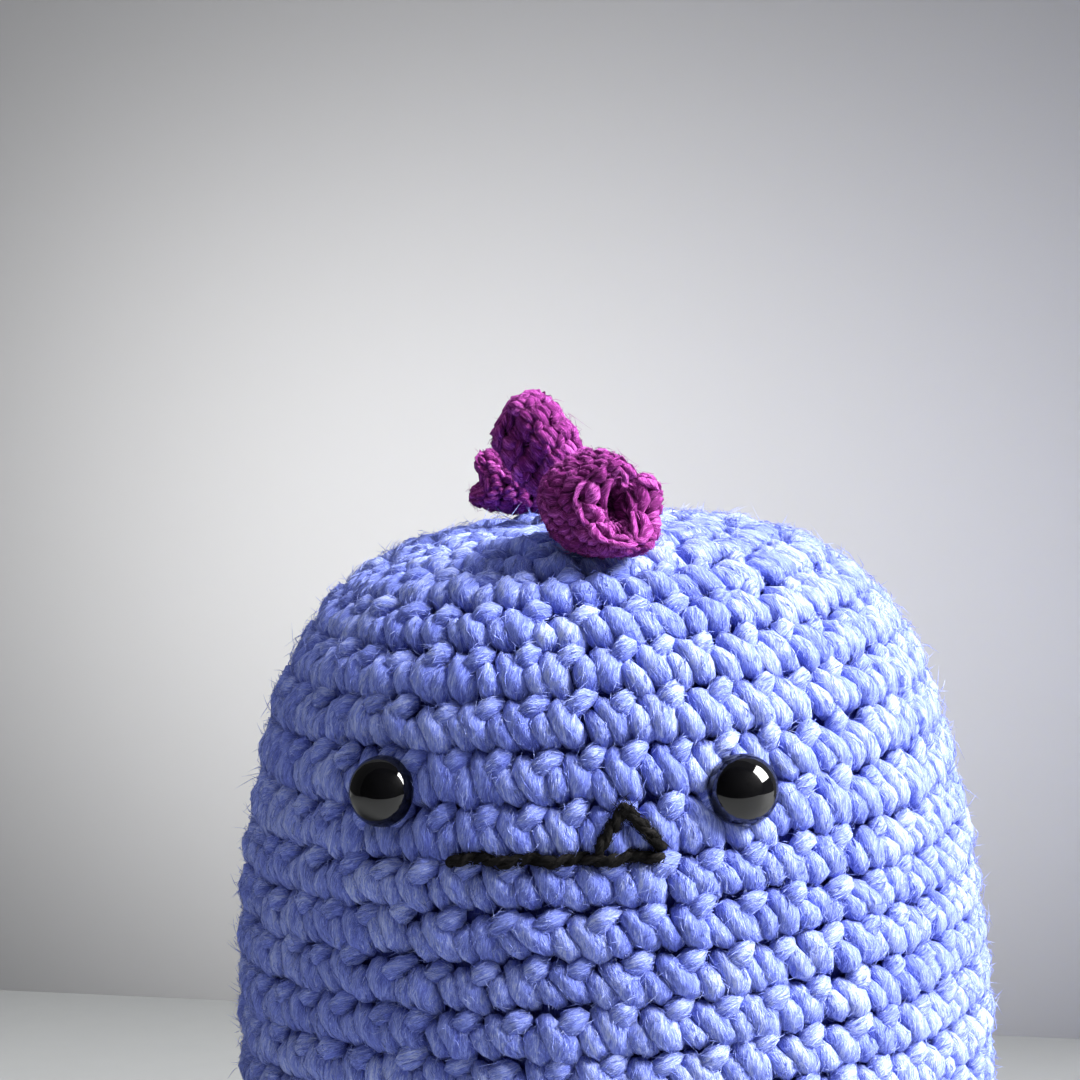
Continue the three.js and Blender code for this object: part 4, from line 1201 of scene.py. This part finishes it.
class TOY_OT_arms(bpy.types.Operator):
    """Crochets the arms and sews each along its top edge"""

    bl_idname = "toy.arms"
    bl_label = "Arms"

    def execute(self, context):
        sizes = context.scene.toy_sizes
        body = Body(sizes)
        for side, sign in SIDES:
            limb, hinge, across = arm_limb(sizes, body, side, sign)
            name, surface = f"{side}_arm", limb.surface
            rows = limb_rows(surface, sizes.side_round)
            stitches = Crochet(surface, rows, sizes.stitch_width, 0.95 * sizes.yarn, seed=50 + sign)
            arm = Shape()
            stitches.lay(arm)
            under_lobes = -1.4 * MM
            # A skin under the lobes, wholly the shade colour: painted shade between the stitches
            skin(arm, surface, under_lobes, rows=40, columns=36)
            fuzzy(stitches, arm, np.arange(stitches.count), sizes, seed=52 + sign)
            piece = arm.piece(f"{name}_crochet", name, "body_yarn", finish(BODY_YARN), [name])
            # Loops of sewing yarn round the top edge, each slanting to the next, over one straight strand
            seam = Shape()
            loops, loop_radius, slant, loop_yarn = 5, 1.25 * MM, 0.5 * MM, 0.75 * MM
            turn = np.linspace(0, TURN, 15)[:-1]
            ring = np.cos(turn)[:, None] * np.array(UP) + np.sin(turn)[:, None] * np.cross(across, UP)
            for loop in range(loops):
                middle = hinge + across * sizes.arm_seam * (2 * (loop + 0.5) / loops - 1)
                path = middle + ring * loop_radius + across * (slant * np.cos(turn))[:, None]
                loop_of_yarn(seam, path, loop_yarn, sides=8, index=loop)
            overhang, strand_radius = 1.1, 0.8 * MM
            strand = np.linspace(-overhang, overhang, 14)[:, None] * across * sizes.arm_seam + hinge
            points, strands, faces = closed_tube(strand, strand_radius, sides=8, out=UP)
            # Painted shade: the strand under the loops takes half the shade colour
            seam.add(points, faces, strands, tint=0.4, depth=0.5)
            seam.piece(f"{side}_shoulder_stitches", "body", "body_yarn", finish(BODY_YARN),
                       [f"{side}_shoulder_seam"])
        return {"FINISHED"}


def loop_of_yarn(shape, path, radius, sides, index):
    """A closed ring of yarn: a round section carried round a closed path."""
    count = len(path)
    ahead = unit(np.roll(path, -1, 0) - np.roll(path, 1, 0))
    out = unit(path - path.mean(0))
    aside = np.cross(ahead, out)
    turn = circle(sides)
    across = np.cos(turn)[:, None] * out[:, None] + np.sin(turn)[:, None] * aside[:, None]
    along = (np.abs(np.arange(count) - count / 2) * np.linalg.norm(path[1] - path[0]))[:, None] + 0 * turn
    strands = np.stack([radius * np.cos(turn) + 0 * along, radius * np.sin(turn) + 0 * along, along], -1) / MM
    apart = 19.0
    shape.add(path[:, None] + radius * across, grid_faces(count, sides, ring=True),
              strands + [0, 0, apart * index], tint=0.5, depth=0.9)


class Spike:
    """A spike: a tab curled into a cup on a round foot. Its outline goes up the outside, rolls over the rim
    and down the hollow, which is squeezed to a slit. A crease where the tab's edges meet draws the radius
    in."""

    def __init__(self, sizes, place, share, crease, fold, bend, seed):
        rng = np.random.default_rng(seed)
        foot, rim, wide = share * sizes.spike_foot, share * sizes.spike_rim, share * sizes.spike_radius
        tall, hollow = sizes.spike_length, sizes.spike_hollow
        knots = [[0, -foot], [0.72 * foot, -0.7 * foot], [1.05 * foot, 0.1 * foot],
                 [0.98 * wide, 0.48 * tall], [wide, 0.7 * tall], [rim + 0.9 * MM, 0.93 * tall],
                 [rim - 0.7 * MM, tall], [rim - 2.5 * MM, tall - 1.3 * MM],
                 [0.3 * rim, tall - 0.75 * hollow], [0, tall - hollow]]
        steps, rim_knot = 399, 6
        outline = resample(knots, steps + 1)
        self.radii, self.heights = np.maximum(outline[:, 0], 0), outline[:, 1]
        self.along = distances(outline)
        self.rim = self.along[round(steps * rim_knot / (len(knots) - 1))]
        self.crease, self.fold, self.waves = crease, fold, rng.uniform(0, TURN, 3)
        self.place, self.bend = place, np.array(bend)
        self.surface = Surface(self.point, self.along[-1])

    def point(self, around, along):
        """The outline turned about the spike's axis, creased as a bell curve, uneven as sines and bent by the
        square of a smooth step of its height."""
        crease_width, rim_wave, roll, squeezed, stretched = 0.36, 0.9 * MM, 3 * MM, 0.5, 0.2
        radius = np.interp(along, self.along, self.radii)
        height = np.interp(along, self.along, self.heights)
        raised = smooth(height / self.heights.max()) + 0 * around
        off = np.abs((around - self.crease + math.pi) % TURN - math.pi)
        crease = self.fold * np.exp(-((off / crease_width) ** 2)) * smooth(1.6 * height / self.heights.max())
        uneven = 0.05 * np.sin(3 * around + self.waves[0]) + 0.04 * np.sin(5 * around + self.waves[1])
        radius = radius * (1 - crease + uneven * raised)
        height = height + rim_wave * raised * np.sin(2 * around + self.waves[2])
        rolled = smooth((along - self.rim) / roll + 0.5)
        across, up = radius * (1 - squeezed * rolled), radius * (1 + stretched * rolled)
        local = np.stack(np.broadcast_arrays(-across * np.sin(around), -up * np.cos(around), height), -1)
        return placed(local, self.place) + self.bend * (raised**2)[..., None]


class TOY_OT_spikes(bpy.types.Operator):
    """Crochets the curled spikes along the back"""

    bl_idname = "toy.spikes"
    bl_label = "Spikes"

    def execute(self, context):
        sizes = context.scene.toy_sizes
        names = sorted(name for name in frame["nodes"] if name.startswith("spike_"))
        for index, name in enumerate(names):
            mesh = frame["nodes"][name].data
            corners = np.empty(3 * len(mesh.vertices), np.float32)
            mesh.vertices.foreach_get("co", corners)
            corners = corners.reshape(-1, 3)
            hinge = Vector(HINGES[name])
            ahead = Vector(corners.mean(0)) - hinge
            place = Matrix.Translation(hinge) @ ahead.to_track_quat("Z", "Y").to_matrix().to_4x4()
            off_axis = np.linalg.norm(np.cross(corners - np.array(hinge), ahead.normalized()), axis=1).max()
            # Every other spike is creased deeply in front, and the rest lightly, well round from there
            front = place.to_3x3().inverted() @ Vector((-0.45, -1, 0))
            turn, fold = ((2.4, 0.24), (0, 0.52))[index % 2]
            curl = Spike(sizes, place, off_axis / SPIKE_WIDEST, math.atan2(-front.x, -front.y) + turn, fold,
                         SPIKE_BENDS.get(name, (0, 0, 0)), 70 + index)
            surface = curl.surface
            rows = limb_rows(surface, sizes.spike_round)
            stitches = Crochet(surface, rows, sizes.spike_stitch, sizes.spike_yarn, seed=80 + index)
            spike = Shape()
            stitches.lay(spike)
            under_lobes = -1.5 * sizes.spike_yarn
            # A skin under the lobes, wholly the shade colour: painted shade between the stitches
            skin(spike, surface, under_lobes, rows=60, columns=36)
            edge = curl.rim + sizes.spike_round * np.array([-0.55, 0.55])
            chains = Crochet(surface, edge, 1.15 * sizes.spike_stitch, 0.95 * sizes.spike_yarn,
                             seed=100 + index)
            chains.lay(spike, CHAIN)
            each = 34
            fibred = np.random.default_rng(90 + index).permutation(np.arange(stitches.count).repeat(each))
            stitches.fibres(spike, fibred, 0.5 * sizes.wisp, 0.7 * sizes.wisp_radius, lift=0.1, wander=LYING,
                            seed=90 + index)
            stitches.fibres(spike, fibred, 0.8 * sizes.fuzz, 0.8 * sizes.fibre, lift=1.0, wander=ASTRAY,
                            seed=190 + index)
            spike.piece(f"{name}_crochet", name, "spike_yarn", finish(SPIKE_YARN), [name])
        return {"FINISHED"}


class TOY_OT_stage(bpy.types.Operator):
    """Sets the table, the backdrop, the light and the camera"""

    bl_idname = "toy.stage"
    bl_label = "Stage"

    def execute(self, context):
        colours = context.scene.toy_colours
        floor = plane("floor", size=1.5, place=Matrix.Identity(4))
        # Painted board: pale and dull, with faint clouds
        board = plain_material("Pale table", colours.floor, roughness=0.6, grain=40, amount=0.03, relief=0.05)
        floor.data.materials.append(board[0])
        turn = Matrix.Rotation(math.radians(-11.07), 4, "Z")
        upright = Matrix.Rotation(math.pi / 2, 4, "X")
        wall = plane("backdrop", size=0.6, place=Matrix.Translation((0, 0.171, 0.3)) @ turn @ upright)
        # Matt paper with painted shade: its colour darkens away from its middle, by the distance from a point
        # behind the toy's head, standing in for light that falls off; it is clear from behind
        material, tree, shader, output = plain_material(
            "Pale backdrop", colours.backdrop, roughness=0.8, grain=60, amount=0.05, relief=0.02)
        middle, reach = (-0.015, 0.175, 0.075), (0.2, 0.17, 0.15)
        where = add_node(tree, "ShaderNodeTexCoord")
        centred = add_node(tree, "ShaderNodeMapping", [
            ("Vector", where.outputs["Object"]), ("Location", [-x / far for x, far in zip(middle, reach)]),
            ("Scale", [1 / far for far in reach])])
        near = add_node(tree, "ShaderNodeTexGradient", [(0, centred.outputs[0])], gradient_type="SPHERICAL")
        ramp = add_node(tree, "ShaderNodeValToRGB", [(0, near.outputs["Fac"])])
        ramp.color_ramp.interpolation = "EASE"
        edge, centre = ramp.color_ramp.elements
        edge.color, centre.color = colours.backdrop_painted_shade, colours.backdrop
        edge.position, centre.position = 0, 0.9
        tree.links.new(ramp.outputs[0], shader.inputs["Base Color"])
        behind = add_node(tree, "ShaderNodeNewGeometry")
        clear = add_node(tree, "ShaderNodeBsdfTransparent")
        shown = add_node(tree, "ShaderNodeMixShader", [
            (0, behind.outputs["Backfacing"]), (1, shader.outputs[0]), (2, clear.outputs[0])])
        tree.links.new(shown.outputs[0], output.inputs["Surface"])
        wall.data.materials.append(material)
        # A dull black card behind the camera, which shows only in reflections, such as the eyes'
        card = plane("dark_card", size=4.0, place=Matrix.Translation((0, -0.46, 2.0)) @ upright)
        dull = plain_material("Black card", colours.eye, roughness=0.8, grain=60, amount=0.05, relief=0.02)
        card.data.materials.append(dull[0])
        card.visible_camera = card.visible_diffuse = card.visible_shadow = card.visible_transmission = False
        toy, warm, cool = (0, 0, 0.06), (1.0, 0.99, 0.97), (0.97, 0.98, 1.0)
        lamp("window", (1.746, 0.144, 1.374), toy, size=1.26, power=48.6, tone=warm, spread=70)
        behind_toy, on_wall = (-0.02, 0.10, 0.06), (-0.07, 0.18, 0.08)
        for light in (
                lamp("sky", (-0.08, 0.0, 0.58), behind_toy, size=0.5, power=1.25, tone=cool, spread=180),
                lamp("fill", (-0.36, -0.50, 0.26), toy, size=0.5, power=0.27, tone=warm, spread=180),
                lamp("backdrop", (-0.30, -0.10, 0.22), on_wall, size=0.1, power=0.075, tone=warm, spread=50)):
            light.visible_glossy = False
        # The room is dim for the toy, and pale where the camera sees past the backdrop.
        dim, paler = 0.06, 0.7
        world = bpy.data.worlds.new("studio")
        world.use_nodes = True
        room = world.node_tree.nodes["Background"]
        room.inputs["Color"].default_value = colours.backdrop
        seen = add_node(world.node_tree, "ShaderNodeLightPath")
        strength = add_node(world.node_tree, "ShaderNodeMath", [
            (0, seen.outputs["Is Camera Ray"]), (1, paler), (2, dim)], operation="MULTIPLY_ADD")
        world.node_tree.links.new(strength.outputs[0], room.inputs["Strength"])
        context.scene.world = world
        camera = bpy.data.cameras.new("camera")
        camera.lens, camera.sensor_width = 112.7, 36
        shot = bpy.data.objects.new("camera", camera)
        context.collection.objects.link(shot)
        round_toy, down, aside, roll = (math.radians(x) for x in (8.05, 6.28, 0.93, 2.6))
        away, height = 0.4, 0.14804
        shot.matrix_world = (
            Matrix.Translation((away * math.sin(round_toy), -away * math.cos(round_toy), height))
            @ Matrix.Rotation(round_toy + aside, 4, "Z") @ Matrix.Rotation(math.pi / 2 - down, 4, "X")
            @ Matrix.Rotation(-roll, 4, "Z"))
        camera.clip_start = 0.01
        context.scene.camera = shot
        context.scene.view_settings.view_transform = "Standard"
        return {"FINISHED"}


def plane(name, size, place):
    """A square that faces up before a matrix places it."""
    half = size / 2
    mesh = bpy.data.meshes.new(name)
    corners = [place @ Vector((x * half, y * half, 0)) for x, y in ((-1, -1), (1, -1), (1, 1), (-1, 1))]
    mesh.from_pydata(corners, [], [(0, 1, 2, 3)])
    made = bpy.data.objects.new(name, mesh)
    bpy.context.collection.objects.link(made)
    return made


def lamp(name, place, aim, size, power, tone, spread):
    """A soft square light that faces a point, with the spread of its beam in degrees."""
    light = bpy.data.lights.new(name, "AREA")
    light.size, light.energy, light.color, light.spread = size, power, tone, math.radians(spread)
    made = bpy.data.objects.new(name, light)
    made.location = place
    made.rotation_euler = (Vector(aim) - Vector(place)).to_track_quat("-Z", "Y").to_euler()
    bpy.context.collection.objects.link(made)
    return made


class TOY_PT_panel(bpy.types.Panel):
    """Lists the steps that build the toy"""

    bl_idname = "TOY_PT_panel"
    bl_label = "Crocheted Dinosaur"
    bl_space_type = "VIEW_3D"
    bl_region_type = "UI"
    bl_category = "Dinosaur"

    def draw(self, context):
        for step in STEPS:
            self.layout.operator(step.bl_idname)


STEPS = (TOY_OT_body, TOY_OT_eyes, TOY_OT_mouth, TOY_OT_feet, TOY_OT_tail, TOY_OT_arms, TOY_OT_spikes,
         TOY_OT_stage)
CLASSES = (ToySizes, ToyColours, *STEPS, TOY_PT_panel)


def register():
    """Registers the classes and hangs the properties on the scene."""
    for made in CLASSES:
        bpy.utils.register_class(made)
    bpy.types.Scene.toy_sizes = bpy.props.PointerProperty(type=ToySizes)
    bpy.types.Scene.toy_colours = bpy.props.PointerProperty(type=ToyColours)


def unregister():
    """Takes the properties and classes away again."""
    del bpy.types.Scene.toy_colours
    del bpy.types.Scene.toy_sizes
    for made in reversed(CLASSES):
        bpy.utils.unregister_class(made)


def main():
    """Builds the toy step by step."""
    register()
    for step in (bpy.ops.toy.body, bpy.ops.toy.eyes, bpy.ops.toy.mouth, bpy.ops.toy.feet, bpy.ops.toy.tail,
                 bpy.ops.toy.arms, bpy.ops.toy.spikes, bpy.ops.toy.stage):
        step()


if __name__ == "__main__":
    main()
